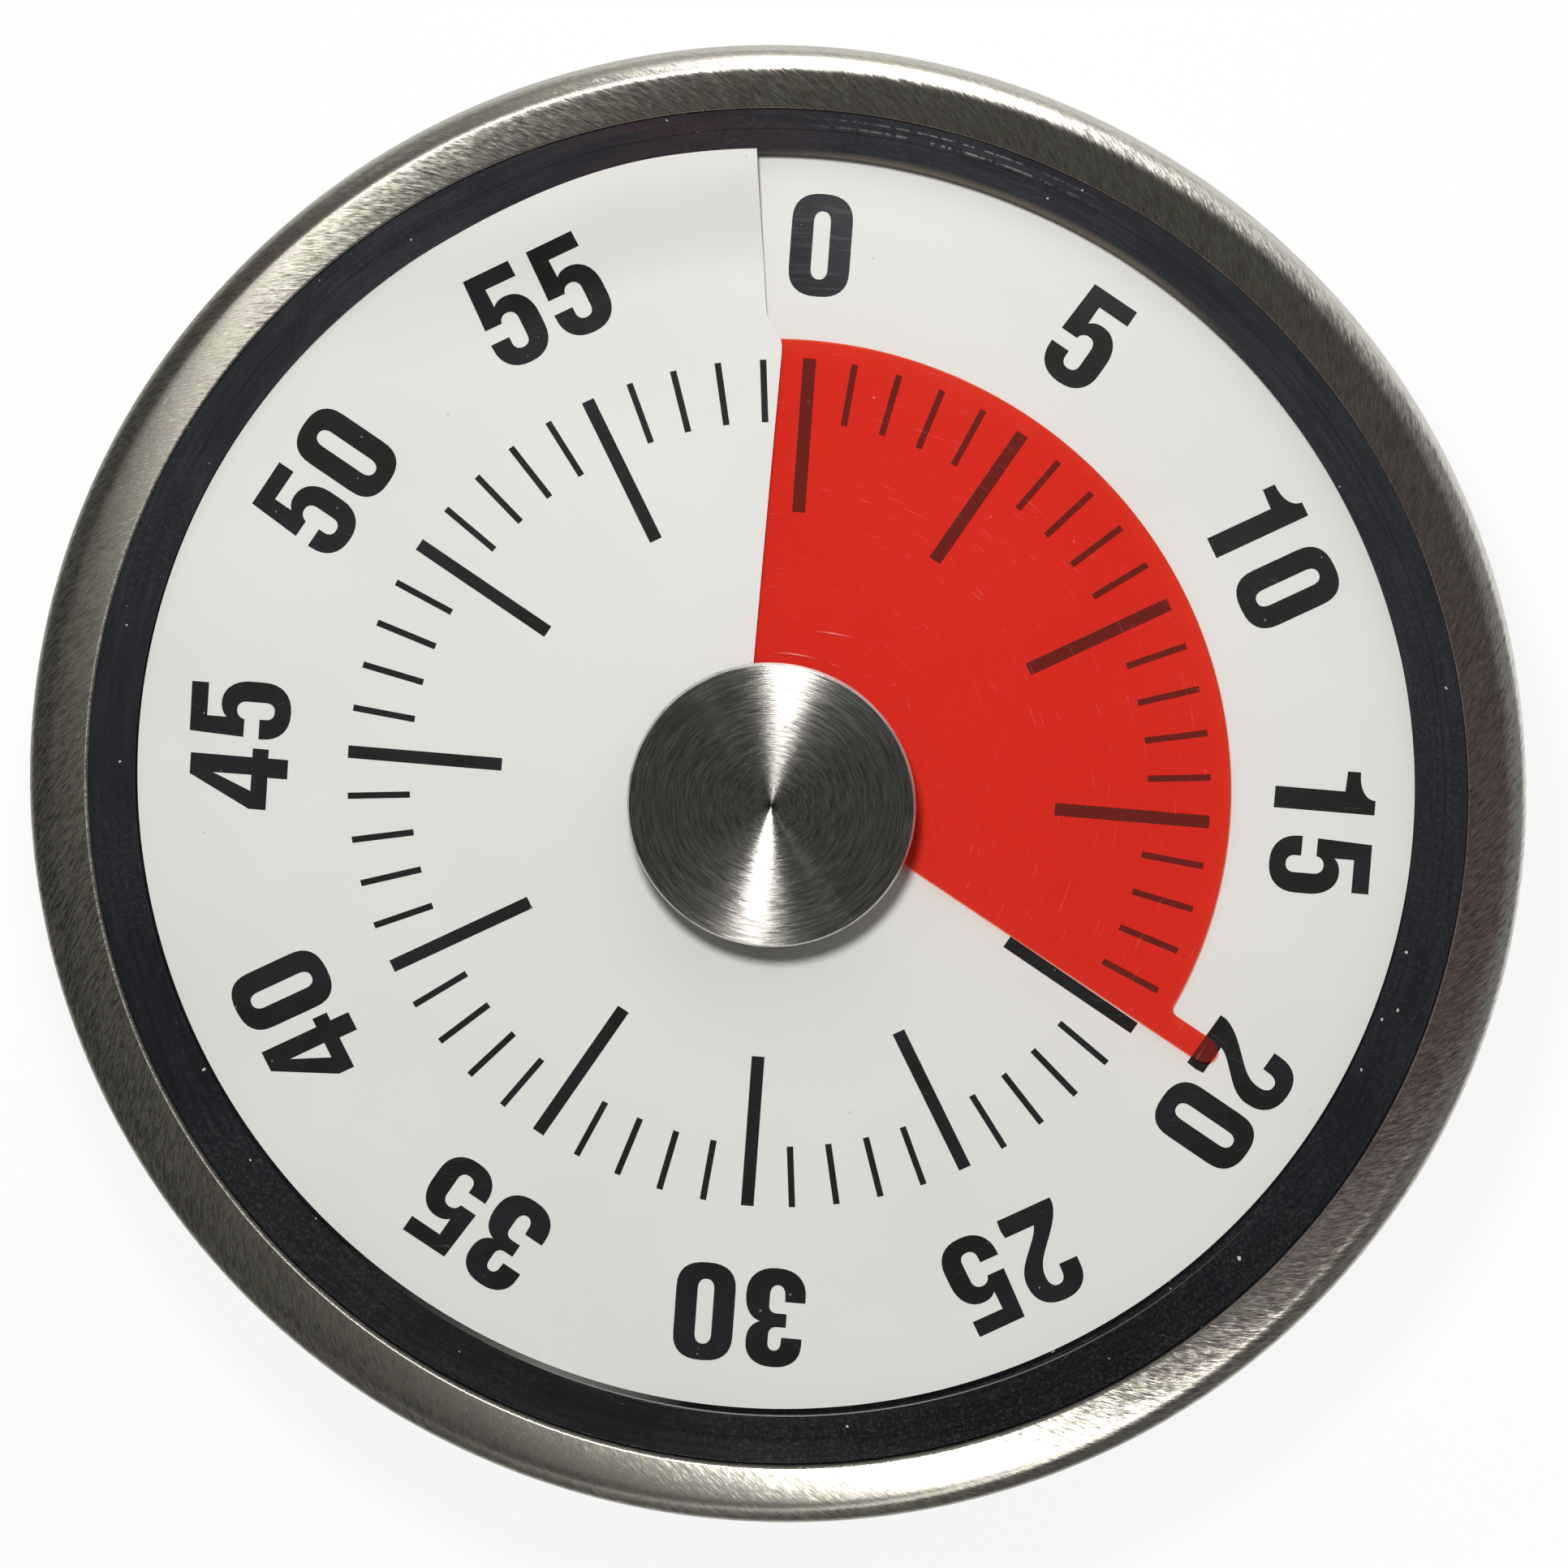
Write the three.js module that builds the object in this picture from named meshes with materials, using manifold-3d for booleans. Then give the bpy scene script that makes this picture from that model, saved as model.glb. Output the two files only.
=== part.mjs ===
// Mechanical 60-minute kitchen timer, lying on its back.
// Millimetres, +Z out of the dial, +Y towards the 0 mark.
import * as THREE from 'three';
import { mergeVertices } from 'three/addons/utils/BufferGeometryUtils.js';
import Module from 'manifold-3d';

const wasm = await Module();
wasm.setup();

// ---------------------------------------------------------------- driving dimensions

// Clearances
const fitGap = 0.1; // a shaft or stud in its hole, all round
const faceGap = 0.05; // two flat faces that seat on each other
const pieceGap = 0.3; // pieces that lie beside each other
const runGap = 0.5; // moving pieces that pass each other

// Case
const caseRadius = 39.2;
const caseWall = 0.6;
const caseBottom = 0.8;
const bezelWidth = 3; // flat face of the case, seen from the front
const bezelRise = 3.5; // from the dial to the top of the case
const bezelDish = 0.35; // how far the bezel falls towards its inner edge
const bezelRound = 1; // radius of the rounded outer edge
const rimHeight = 2; // upright part of the case's side, below its rounded edge

// Black ring between the bezel and the dial
const ringWidth = 2.6;
const ringSink = 0.6; // how far the ring's top lies below the bezel's
const ringLipRise = 0.7; // from the dial to the ring's lower inner edge
const ringStep = 0.25;
const ringLedge = 3.1; // how far the ledge reaches in below the dial
const ringFlange = 1.2; // how far the flange reaches out below the bezel
const ringFlangeThickness = 0.8;

// Dial and film
const dialThickness = 0.4;
const dialHoleRadius = 5;
const slitOffset = 1.6; // the slit runs beside the 0 mark, not through the centre
const slitWidth = 1;
const slitJog = 0.9; // sideways step of the slit outside the film
const slitLean = 2; // how far the slit leans over from the step to the dial's edge
const filmRadius = 23.8;
const filmThickness = 0.25;
const filmGap = 0.35;
const filmEdgeOffset = 0.4; // the leading edge runs beside the centre
const fingerLength = 3.3; // from the film's arc to the finger's tip
const fingerWidth = 1.4;
const webBearing = 60; // the film's two layers are built up to this bearing, then cut at the slit
const webOverlap = 1; // how far they run into each other there, in degrees
const sectorStep = 7.5; // longest step of the film's arc, in degrees
const setAngle = 119.5; // clockwise from the 0 mark, in degrees
const filmSpan = 345; // the whole film, shown and hidden, in degrees

// Knob and hub
const knobRadius = 7.5;
const knobRise = 5.2; // from the dial to the top of the knob
const knobWall = 0.7;
const knobTaper = 1; // how much narrower the knob is at its foot
const knobChamfer = 0.3;
const hubRadius = 3;
const arborRadius = 1.5;
const arborPivotRadius = 1.2;

// Back cover, magnet and bell
const coverThickness = 2.4;
const magnetRadius = 15;
const magnetThickness = 2;
const pocketFloor = 1;
const pocketWall = 1.6;
const bellSeatRadius = 3;
const bellSeatHeight = 1.3;
const bellWall = 0.7;
const bellHeight = 3.3; // inside
const bellRound = 2;
const bellGap = 2.3; // from the bell's wall to the circle of the pillars
const bellScrewRadius = 1.2;
const bellScrewHeadRadius = 2.6;
const bellScrewHead = 1;
const bellScrewDepth = 0.5; // into the floor of the magnet's pocket

// Chassis: the plastic plate behind the dial, with three posts for the cover screws
const chassisThickness = 1.2;
const chassisDrop = 1.3; // from the underside of the dial to the top of the chassis
const chassisHoleRadius = 6;
const postCount = 3;
const postRadius = 2.2;
const postMargin = 1.1; // from the posts to the inside of the case, at the back
const coverScrewRadius = 1;
const coverScrewHeadRadius = 2.1;
const coverScrewHead = 1;
const coverScrewSunk = 0.4; // how far the heads lie below the cover's face
const coverScrewReach = 7.5;

// Movement frame
const plateThickness = 1;
const plateMargin = 3.1; // from the outermost wheel to the edge of the plates
const plateDrop = 0.4; // from the back plate to the bell
const pillarCount = 4;
const pillarInset = 2.2; // from the edge of the plates
const pillarAngle = 55;
const pillarRadius = 1.5;
const tenonRadius = 1;
const screwRadius = 0.7;
const screwHeadRadius = 1.6;
const screwHead = 0.9;
const slotWidthShare = 0.3; // of a screw head's radius
const slotDepthShare = 0.45; // of its height
const plateScrewReach = 3.2; // into the pillar
const movementScrewCount = 3;
const movementScrewInset = 2.8; // from the circle of the pillars
const movementScrewAngle = 10;

// Wheels and pinions
const wheelThickness = 0.7;
const staffRadius = 0.7; // the body of a thin arbor
const pivotRadius = 0.45; // its ends, in the plates
const greatTeeth = 56;
const greatModule = 0.46;
const secondPinionLeaves = 7;
const secondTeeth = 48;
const fineModule = 0.37;
const thirdPinionLeaves = 8;
const thirdTeeth = 40;
const escapePinionLeaves = 8;
const escapeTeeth = 15;
const escapeRadius = 5;
const wheelRim = 1.6; // radial width of a spoked wheel's rim
const spokeWidth = 1.3;
const wheelSpokes = 4;
const wheelHub = 2;
const toothRise = 0.8; // of a module, above the pitch circle
const toothSink = 1.1; // and below it
const toothRootShare = 0.24; // half a tooth's width at the root, in pitches
const toothTipShare = 0.1; // and at the tip
const escapeToothDepth = 1.3;
const escapeTipStart = 0.45; // where an escape tooth's tip lies, in pitches
const escapeTipEnd = 0.6;

// Places of the arbors in the movement: angles are counter-clockwise from +X, in degrees
const secondAngle = 200;
const thirdDistance = 15.5; // from the main arbor
const escapeDistance = 16.5;
const balanceDistance = 17;
const balanceMesh = 7.3; // from the escape arbor to the balance staff

// Ratchet and click
const ratchetTeeth = 18;
const ratchetRadius = 5.2;
const ratchetDepth = 0.8;
const ratchetTip = 0.85; // where a ratchet tooth's tip lies, in pitches
const clickThickness = 0.6;
const clickDistance = 8.4; // from the main arbor to the click's stud
const clickAngle = 60;
const clickNoseAngle = 30;
const clickNoseWidth = 0.7;
const clickStudRadius = 0.6;
const clickStudHeadRadius = 1;
const clickArm = 1.5; // radius of the click's body
const clickStudHead = 0.2;
const clickSpringSweep = 66; // in degrees
const clickSpringLag = 4; // from the spring's end to the click's nose, in degrees

// Mainspring
const springHeight = 2.7;
const springStrip = 0.3;
const springInner = 2.1;
const springOuter = 10;
const springTurns = 5;
const springPostRadius = 0.8;

// Balance
const balanceRadius = 6.2;
const balanceRim = 1;
const balanceHub = 1.5;
const balanceSpokes = 2;
const palletRadius = 1.9;
const palletWidth = 0.7; // across the flats
const palletHub = 1.2;

// Strike
const camRadius = 4;
const camNotch = 1.2;
const camNotchAngle = 20; // where the notch stands when the film is back at 0
const leverThickness = 0.8;
const camDrop = 0.6; // from the back plate to the cam and the hammer's lever
const hammerPivot = [7, -12.1];
const hammerTail = [4.4, 1.5];
const hammerAngle = -15; // direction of the hammer's head from the centre
const hammerDraw = 2.1; // from the resting hammer to the bell
const hammerStudRadius = 0.9;
const hammerStudHeadRadius = 1.6;
const hammerStudHead = 0.6;
const hammerHeadRadius = 1.5;
const hammerHeadHeight = 1;
const leverTailWidth = 1;
const leverArmWidth = 1.5;
const leverHubRadius = 1.8;
const hammerSpringRoot = [8.5, -8];
const hammerSpringShort = 1; // how far it ends below the lever's tail
const leafStrip = 0.3; // thickness of a leaf spring

// Facets round a full circle
const caseFacets = 48;
const discFacets = 32;
const shaftFacets = 16;
const smallFacets = 10;
const roundFacets = 4; // to a quarter circle
const endFacets = 6; // to the half circle at a bar's end
const windowFacets = 5; // to the arc between two spokes
const leafFacets = 10; // to a leaf spring's arc
const springSteps = 16; // to one turn of the mainspring

// ---------------------------------------------------------------- sizes worked out from them

// Heights, from the back upwards
const pocketTop = magnetThickness + pieceGap;
const coverBossTop = pocketTop + pocketFloor;
const bellSeatTop = coverBossTop + bellSeatHeight;
const bellBottom = bellSeatTop + pieceGap;
const bellRimTop = bellBottom + bellWall + bellHeight;
const backPlateBottom = bellRimTop + plateDrop;
const backPlateTop = backPlateBottom + plateThickness;
const camTop = backPlateBottom - camDrop;

// Between the plates: each wheel clears the one below
const pinionHeight = wheelThickness + 2 * pieceGap;
const secondWheelBottom = backPlateTop + runGap;
const greatWheelBottom = secondWheelBottom + wheelThickness + runGap;
const greatWheelTop = greatWheelBottom + wheelThickness;
const clickBottom = greatWheelTop + 2 * fitGap;
const clickTop = clickBottom + clickThickness;
const balanceBottom = greatWheelTop + 4 * fitGap;
const thirdWheelBottom = balanceBottom + wheelThickness + runGap;
const escapeWheelBottom = thirdWheelBottom + pinionHeight + 2 * pieceGap;
const springBottom = thirdWheelBottom + wheelThickness + 4 * fitGap;
const frontPlateBottom = springBottom + springHeight + runGap;
const frontPlateTop = frontPlateBottom + plateThickness;

// Above the movement
const chassisBottom = frontPlateTop + pieceGap;
const chassisTop = chassisBottom + chassisThickness;
const dialBottom = chassisTop + chassisDrop;
const dialTop = dialBottom + dialThickness;
const filmTop = dialTop + filmGap + filmThickness;
const filmBottom = dialBottom - filmGap - filmThickness;
const knobBottom = filmTop + runGap;
const knobTop = dialTop + knobRise;
const bezelTop = dialTop + bezelRise;
const ringTop = bezelTop - ringSink;
const ringLip = dialTop + ringLipRise;

// Radii, from the movement outwards to the back of the case
const secondDistance = (greatModule * (greatTeeth + secondPinionLeaves)) / 2;
const secondRadius = (fineModule * secondTeeth) / 2;
const plateRadius = secondDistance + secondRadius + plateMargin;
const pillarCircle = plateRadius - pillarInset;
const bellRadius = pillarCircle - bellGap; // inside
const postCircle = plateRadius + runGap + postRadius;
const caseBackRadius = postCircle + postRadius + postMargin + caseWall;
const rimBottom = bezelTop - bezelRound - rimHeight;
const caseTaper = (caseRadius - caseBackRadius) / (rimBottom - caseBottom);
const bezelInnerRadius = caseRadius - bezelWidth;
const ringInnerRadius = bezelInnerRadius - ringWidth;
const movementScrewCircle = pillarCircle - movementScrewInset;

// ---------------------------------------------------------------- small helpers

const radians = THREE.MathUtils.degToRad;

// The point at a radius and an angle, counter-clockwise from +X.
function polar(radius, degrees) {
  return [radius * Math.cos(radians(degrees)), radius * Math.sin(radians(degrees))];
}

// The same for a bearing, clockwise from the 0 mark at +Y.
function bearing(radius, degrees) {
  return polar(radius, 90 - degrees);
}

// A three.js geometry as a closed manifold solid.
function solid(geometry) {
  const bare = geometry.index ? geometry.toNonIndexed() : geometry.clone();
  bare.deleteAttribute('normal');
  bare.deleteAttribute('uv');
  const merged = mergeVertices(bare, 1e-4);
  const index = merged.index.array;
  const faces = [];
  for (let i = 0; i < index.length; i += 3) {
    const [a, b, c] = [index[i], index[i + 1], index[i + 2]];
    if (a !== b && b !== c && c !== a) faces.push(a, b, c);
  }
  return new wasm.Manifold(new wasm.Mesh({
    numProp: 3,
    vertProperties: new Float32Array(merged.attributes.position.array),
    triVerts: new Uint32Array(faces),
  }));
}

// A manifold solid as a three.js geometry.
function geometryOf(body) {
  const mesh = body.getMesh();
  const geometry = new THREE.BufferGeometry();
  geometry.setAttribute('position', new THREE.BufferAttribute(mesh.vertProperties, 3));
  geometry.setIndex(new THREE.BufferAttribute(mesh.triVerts, 1));
  geometry.computeVertexNormals();
  return geometry;
}

// A solid of revolution about Z from [radius, height] points.
function turned(points, facets) {
  const profile = points.map(([r, z]) => new THREE.Vector2(r, z));
  if (THREE.ShapeUtils.area(profile) < 0) profile.reverse();
  const closes = profile[0].x > 0 || profile[profile.length - 1].x > 0;
  if (closes) profile.push(profile[0].clone());
  return solid(new THREE.LatheGeometry(profile, facets).rotateX(Math.PI / 2));
}

// A round rod or hole standing at [x, y].
function rod(radius, bottom, top, facets, [x, y] = [0, 0]) {
  const points = [[0, bottom], [radius, bottom], [radius, top], [0, top]];
  return turned(points, facets).translate([x, y, 0]);
}

// A round hole right through whatever it is taken from.
function hole(radius, facets, place) {
  return rod(radius, -1, knobTop + 1, facets, place);
}

// A flat plate with an outline of [x, y] points.
function plate(outline, bottom, top) {
  const shape = new THREE.Shape(outline.map(([x, y]) => new THREE.Vector2(x, y)));
  const options = { depth: top - bottom, bevelEnabled: false };
  return solid(new THREE.ExtrudeGeometry(shape, options).translate(0, 0, bottom));
}

// Points along an arc, from one angle to another, both counter-clockwise from +X.
function arc(radius, from, to, steps, [x, y] = [0, 0]) {
  const points = [];
  for (let i = 0; i <= steps; i++) {
    const [dx, dy] = polar(radius, from + ((to - from) * i) / steps);
    points.push([x + dx, y + dy]);
  }
  return points;
}

// A straight bar with round ends, from one point to another.
function bar(from, to, width, bottom, top) {
  const lean = Math.atan2(to[1] - from[1], to[0] - from[0]) * THREE.MathUtils.RAD2DEG;
  const outline = [
    ...arc(width / 2, lean - 90, lean + 90, endFacets, to),
    ...arc(width / 2, lean + 90, lean + 270, endFacets, from),
  ];
  return plate(outline, bottom, top);
}

const timer = new THREE.Group();

function add(name, body, material, [x, y] = [0, 0], parent = timer) {
  const mesh = new THREE.Mesh(geometryOf(body), material);
  mesh.name = name;
  mesh.position.set(x, y, 0);
  parent.add(mesh);
}

function material(color, roughness, metalness) {
  return new THREE.MeshStandardMaterial({ color, roughness, metalness });
}

const steel = material(0xb9b6ad, 0.35, 1);
const spunSteel = material(0x8f8f8c, 0.3, 1);
const springSteel = material(0x5c6068, 0.35, 1);
const brass = material(0xc9a254, 0.35, 1);
const nylon = material(0xe9e7dc, 0.5, 0);
const blackGloss = material(0x14161a, 0.15, 0);
const blackMatte = material(0x202124, 0.55, 0);
const whiteSheet = material(0xe6e4df, 0.45, 0);
const redSheet = material(0xd8301f, 0.3, 0);
const ferrite = material(0x3a3a3d, 0.7, 0);

// ---------------------------------------------------------------- case, ring, dial

function caseOuter(z) {
  return Math.min(caseRadius, caseBackRadius + (z - caseBottom) * caseTaper);
}

function caseShell() {
  const shoulder = bezelTop - bezelRound;
  const outer = arc(bezelRound, 0, 90, roundFacets, [caseRadius - bezelRound, shoulder]);
  const inner = arc(bezelRound - caseWall, 90, 0, roundFacets, [caseRadius - bezelRound, shoulder]);
  return turned([
    [caseBackRadius - caseWall, caseBottom],
    [caseBackRadius, caseBottom],
    [caseRadius, rimBottom],
    ...outer,
    [bezelInnerRadius, bezelTop - bezelDish],
    [bezelInnerRadius, bezelTop - bezelDish - caseWall],
    ...inner,
    [caseRadius - caseWall, rimBottom],
  ], caseFacets);
}

const ringTopRadius = bezelInnerRadius - pieceGap;
const flangeTop = bezelTop - bezelDish - caseWall - pieceGap;
const ringBottom = chassisTop + pieceGap;

function rimRing() {
  const middle = (ringTopRadius + ringInnerRadius) / 2;
  const middleHeight = (ringTop + ringLip) / 2;
  const ledgeTop = dialBottom - pieceGap;
  const skirtRadius = caseOuter(ringBottom) - caseWall - pieceGap;
  return turned([
    [ringInnerRadius, ringLip],
    [ringInnerRadius, ledgeTop],
    [ringInnerRadius - ringLedge, ledgeTop],
    [ringInnerRadius - ringLedge, ringBottom],
    [skirtRadius, ringBottom],
    [skirtRadius, flangeTop - ringFlangeThickness],
    [ringTopRadius + ringFlange, flangeTop - ringFlangeThickness],
    [ringTopRadius + ringFlange, flangeTop],
    [ringTopRadius, flangeTop],
    [ringTopRadius, ringTop],
    [middle + ringStep / 2, middleHeight + ringStep],
    [middle - ringStep / 2, middleHeight],
  ], caseFacets);
}

// The slit's centre line, from inside the hub's hole to beyond the dial's edge.
const slitLine = [
  [-slitOffset, 0],
  [-slitOffset, filmRadius + pieceGap],
  [-slitOffset - slitJog, filmRadius + pieceGap + slitJog],
  [-slitOffset - slitLean, ringInnerRadius + pieceGap],
];

function dialPlate() {
  const edge = ringInnerRadius - pieceGap;
  const right = slitLine.map(([x, y]) => [x + slitWidth / 2, y]);
  const left = slitLine.map(([x, y]) => [x - slitWidth / 2, y]).reverse();
  return rod(edge, dialBottom, dialTop, caseFacets)
    .subtract(hole(dialHoleRadius, discFacets))
    .subtract(plate([...right, ...left], 0, knobTop));
}

// A sector of the film, from one bearing round clockwise to another.
function sector(from, to, bottom, top) {
  const steps = Math.ceil((to - from) / sectorStep);
  return plate([
    ...arc(filmRadius, 90 - from, 90 - to, steps),
    ...arc(hubRadius + fitGap, 90 - to, 90 - from, Math.ceil(steps / 2)),
  ], bottom, top);
}

// The film comes up through the slit: shown above the dial, hidden below it, with a web between.
function redFilm() {
  const shownBottom = filmTop - filmThickness;
  const hiddenTop = filmBottom + filmThickness;
  const web = -slitOffset;
  const half = filmThickness / 2;
  const reach = 2 * filmRadius;
  const right = [[web - half, 0], [reach, 0], [reach, reach], [web - half, reach]];
  const left = [[web + half, 0], [-reach, 0], [-reach, reach], [web + half, reach]];
  const shown = sector(webBearing, setAngle, shownBottom, filmTop).add(
    sector(-webBearing, webBearing + webOverlap, shownBottom, filmTop).intersect(plate(right, 0, knobTop)),
  );
  const hidden = sector(setAngle - filmSpan, -webBearing, filmBottom, hiddenTop).add(
    sector(-webBearing - webOverlap, webBearing, filmBottom, hiddenTop).intersect(plate(left, 0, knobTop)),
  );
  const strip = [[web - half, hubRadius], [web + half, hubRadius], [web + half, reach], [web - half, reach]];
  const ramp = plate(strip, filmBottom, filmTop)
    .intersect(rod(filmRadius, filmBottom, filmTop, discFacets))
    .subtract(hole(hubRadius + fitGap, discFacets));
  return shown.add(hidden).add(ramp).add(finger(shownBottom));
}

// The finger's leading side runs on from the film's leading edge.
function finger(bottom) {
  const side = bearing(filmEdgeOffset + fingerWidth / 2, setAngle - 90);
  const root = bearing(filmRadius - fingerWidth, setAngle);
  const tip = bearing(filmRadius + fingerLength - fingerWidth / 2, setAngle);
  return bar(
    [root[0] + side[0], root[1] + side[1]],
    [tip[0] + side[0], tip[1] + side[1]],
    fingerWidth,
    bottom,
    filmTop,
  );
}

// ---------------------------------------------------------------- knob

function knobCap() {
  return turned([
    [0, knobTop],
    [knobRadius - knobChamfer, knobTop],
    [knobRadius, knobTop - knobChamfer],
    [knobRadius - knobTaper, knobBottom],
    [knobRadius - knobTaper - knobWall, knobBottom],
    [knobRadius - knobWall, knobTop - knobWall],
    [0, knobTop - knobWall],
  ], discFacets);
}

const coreTop = knobTop - knobWall - faceGap;
const arborTop = coreTop - knobWall;

// The core fills the cap, so it tapers with it.
function knobCore() {
  const footRadius = knobRadius - knobTaper - knobWall - 2 * fitGap;
  return turned([
    [0, knobBottom + fitGap],
    [footRadius, knobBottom + fitGap],
    [footRadius + knobTaper, coreTop],
    [0, coreTop],
  ], discFacets).subtract(rod(arborRadius + fitGap, 0, arborTop + fitGap, shaftFacets));
}

function filmHub() {
  return rod(hubRadius, chassisTop, knobBottom, discFacets / 2)
    .subtract(hole(arborRadius + fitGap, shaftFacets));
}

function mainArbor() {
  const end = camTop - leverThickness - pieceGap;
  return turned([
    [0, end],
    [arborPivotRadius, end],
    [arborPivotRadius, backPlateTop + fitGap],
    [arborRadius, backPlateTop + fitGap],
    [arborRadius, arborTop],
    [0, arborTop],
  ], shaftFacets);
}

// ---------------------------------------------------------------- back cover, magnet, bell

function coverPosts() {
  const places = [];
  for (let i = 0; i < postCount; i++) {
    places.push(polar(postCircle, 90 + (i * 360) / postCount));
  }
  return places;
}

const coverSinkDepth = coverScrewSunk + coverScrewHead + faceGap;

function backCover() {
  const edge = caseBackRadius - caseWall - pieceGap;
  const pocketRadius = magnetRadius + pieceGap;
  let body = turned([
    [0, pocketTop],
    [pocketRadius, pocketTop],
    [pocketRadius, 0],
    [edge, 0],
    [edge, coverThickness],
    [pocketRadius + pocketWall, coverThickness],
    [pocketRadius + pocketWall, coverBossTop],
    [bellSeatRadius, coverBossTop],
    [bellSeatRadius, bellSeatTop],
    [0, bellSeatTop],
  ], caseFacets);
  body = body.subtract(rod(bellScrewRadius + fitGap, coverBossTop - bellScrewDepth, knobTop, shaftFacets));
  for (const place of coverPosts()) {
    body = body
      .subtract(rod(coverScrewHeadRadius + pieceGap, -1, coverSinkDepth, shaftFacets, place))
      .subtract(hole(coverScrewRadius + fitGap, shaftFacets, place));
  }
  return body;
}

// A slotted screw pointing up, its head's face at the bottom.
function screw(headRadius, headHeight, shankRadius, bottom, top) {
  const halfLength = 2 * headRadius;
  const halfWidth = (headRadius * slotWidthShare) / 2;
  const slot = [
    [-halfLength, -halfWidth],
    [halfLength, -halfWidth],
    [halfLength, halfWidth],
    [-halfLength, halfWidth],
  ];
  return turned([
    [0, bottom],
    [headRadius, bottom],
    [headRadius, bottom + headHeight],
    [shankRadius, bottom + headHeight],
    [shankRadius, top],
    [0, top],
  ], smallFacets).subtract(plate(slot, bottom - 1, bottom + headHeight * slotDepthShare));
}

// The same screw pointing down, its head's face at the top.
function screwDown(headRadius, headHeight, shankRadius, bottom, top) {
  return screw(headRadius, headHeight, shankRadius, -top, -bottom).rotate([180, 0, 0]);
}

function bell() {
  const floorTop = bellBottom + bellWall;
  const rimTop = floorTop + bellHeight;
  const centre = [bellRadius - bellRound, floorTop + bellRound];
  return turned([
    [bellScrewRadius + fitGap, bellBottom],
    ...arc(bellRound + bellWall, -90, 0, roundFacets, centre),
    [bellRadius + bellWall, rimTop],
    [bellRadius, rimTop],
    ...arc(bellRound, 0, -90, roundFacets, centre),
    [bellScrewRadius + fitGap, floorTop],
  ], discFacets);
}

// ---------------------------------------------------------------- chassis and plates

function chassis() {
  const edge = caseOuter(chassisBottom) - caseWall - pieceGap;
  let body = rod(edge, chassisBottom, chassisTop, caseFacets);
  for (const place of coverPosts()) {
    body = body
      .add(rod(postRadius, coverThickness + pieceGap, chassisBottom + faceGap, shaftFacets, place))
      .subtract(rod(coverScrewRadius + fitGap, 0, coverScrewSunk + coverScrewReach + 1, shaftFacets, place));
  }
  for (const place of pillarPlaces()) {
    body = body.subtract(hole(screwHeadRadius + pieceGap, shaftFacets, place));
  }
  for (const place of movementScrewPlaces()) {
    body = body.subtract(rod(screwRadius + fitGap, 0, chassisTop - pieceGap, smallFacets, place));
  }
  return body.subtract(hole(chassisHoleRadius, discFacets / 2));
}

function pillarPlaces() {
  const places = [];
  for (let i = 0; i < pillarCount; i++) {
    places.push(polar(pillarCircle, pillarAngle + (i * 360) / pillarCount));
  }
  return places;
}

function movementScrewPlaces() {
  const places = [];
  for (let i = 0; i < movementScrewCount; i++) {
    places.push(polar(movementScrewCircle, movementScrewAngle + (i * 360) / movementScrewCount));
  }
  return places;
}

// The third corner of a triangle whose sides are known: it lies clockwise of the first arbor.
function nextArbor(from, distance, reach) {
  const [x, y] = from;
  const base = Math.hypot(x, y);
  const cosine = (base ** 2 + distance ** 2 - reach ** 2) / (2 * base * distance);
  const turn = Math.acos(cosine) * THREE.MathUtils.RAD2DEG;
  return polar(distance, Math.atan2(y, x) * THREE.MathUtils.RAD2DEG - turn);
}

const main = [0, 0];
const second = polar(secondDistance, secondAngle);
const third = nextArbor(second, thirdDistance, (fineModule * (secondTeeth + thirdPinionLeaves)) / 2);
const escape = nextArbor(third, escapeDistance, (fineModule * (thirdTeeth + escapePinionLeaves)) / 2);
const balance = nextArbor(escape, balanceDistance, balanceMesh);
const thinArbors = [second, third, escape, balance];
const springPost = polar(springOuter + springStrip + pieceGap + springPostRadius, 0);

function backPlate() {
  let body = rod(plateRadius, backPlateBottom, backPlateTop, discFacets)
    .subtract(hole(arborPivotRadius + fitGap, shaftFacets))
    .subtract(hole(hammerStudRadius + fitGap, smallFacets, hammerPivot));
  for (const place of thinArbors) {
    body = body.subtract(hole(pivotRadius + fitGap, smallFacets, place));
  }
  for (const place of pillarPlaces()) {
    body = body.subtract(hole(tenonRadius + fitGap, smallFacets, place));
  }
  return body;
}

function frontPlate() {
  let body = rod(plateRadius, frontPlateBottom, frontPlateTop, discFacets)
    .subtract(hole(arborRadius + fitGap, shaftFacets))
    .subtract(hole(springPostRadius + fitGap, smallFacets, springPost));
  for (const place of thinArbors) {
    body = body.subtract(hole(pivotRadius + fitGap, smallFacets, place));
  }
  for (const place of [...pillarPlaces(), ...movementScrewPlaces()]) {
    body = body.subtract(hole(screwRadius + fitGap, smallFacets, place));
  }
  return body;
}

function pillar() {
  const holeBottom = frontPlateBottom - plateScrewReach - pieceGap;
  return turned([
    [0, backPlateBottom],
    [tenonRadius, backPlateBottom],
    [tenonRadius, backPlateTop + faceGap],
    [pillarRadius, backPlateTop + faceGap],
    [pillarRadius, frontPlateBottom - faceGap],
    [screwRadius + fitGap, frontPlateBottom - faceGap],
    [screwRadius + fitGap, holeBottom],
    [0, holeBottom],
  ], smallFacets);
}

// ---------------------------------------------------------------- wheels

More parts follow.
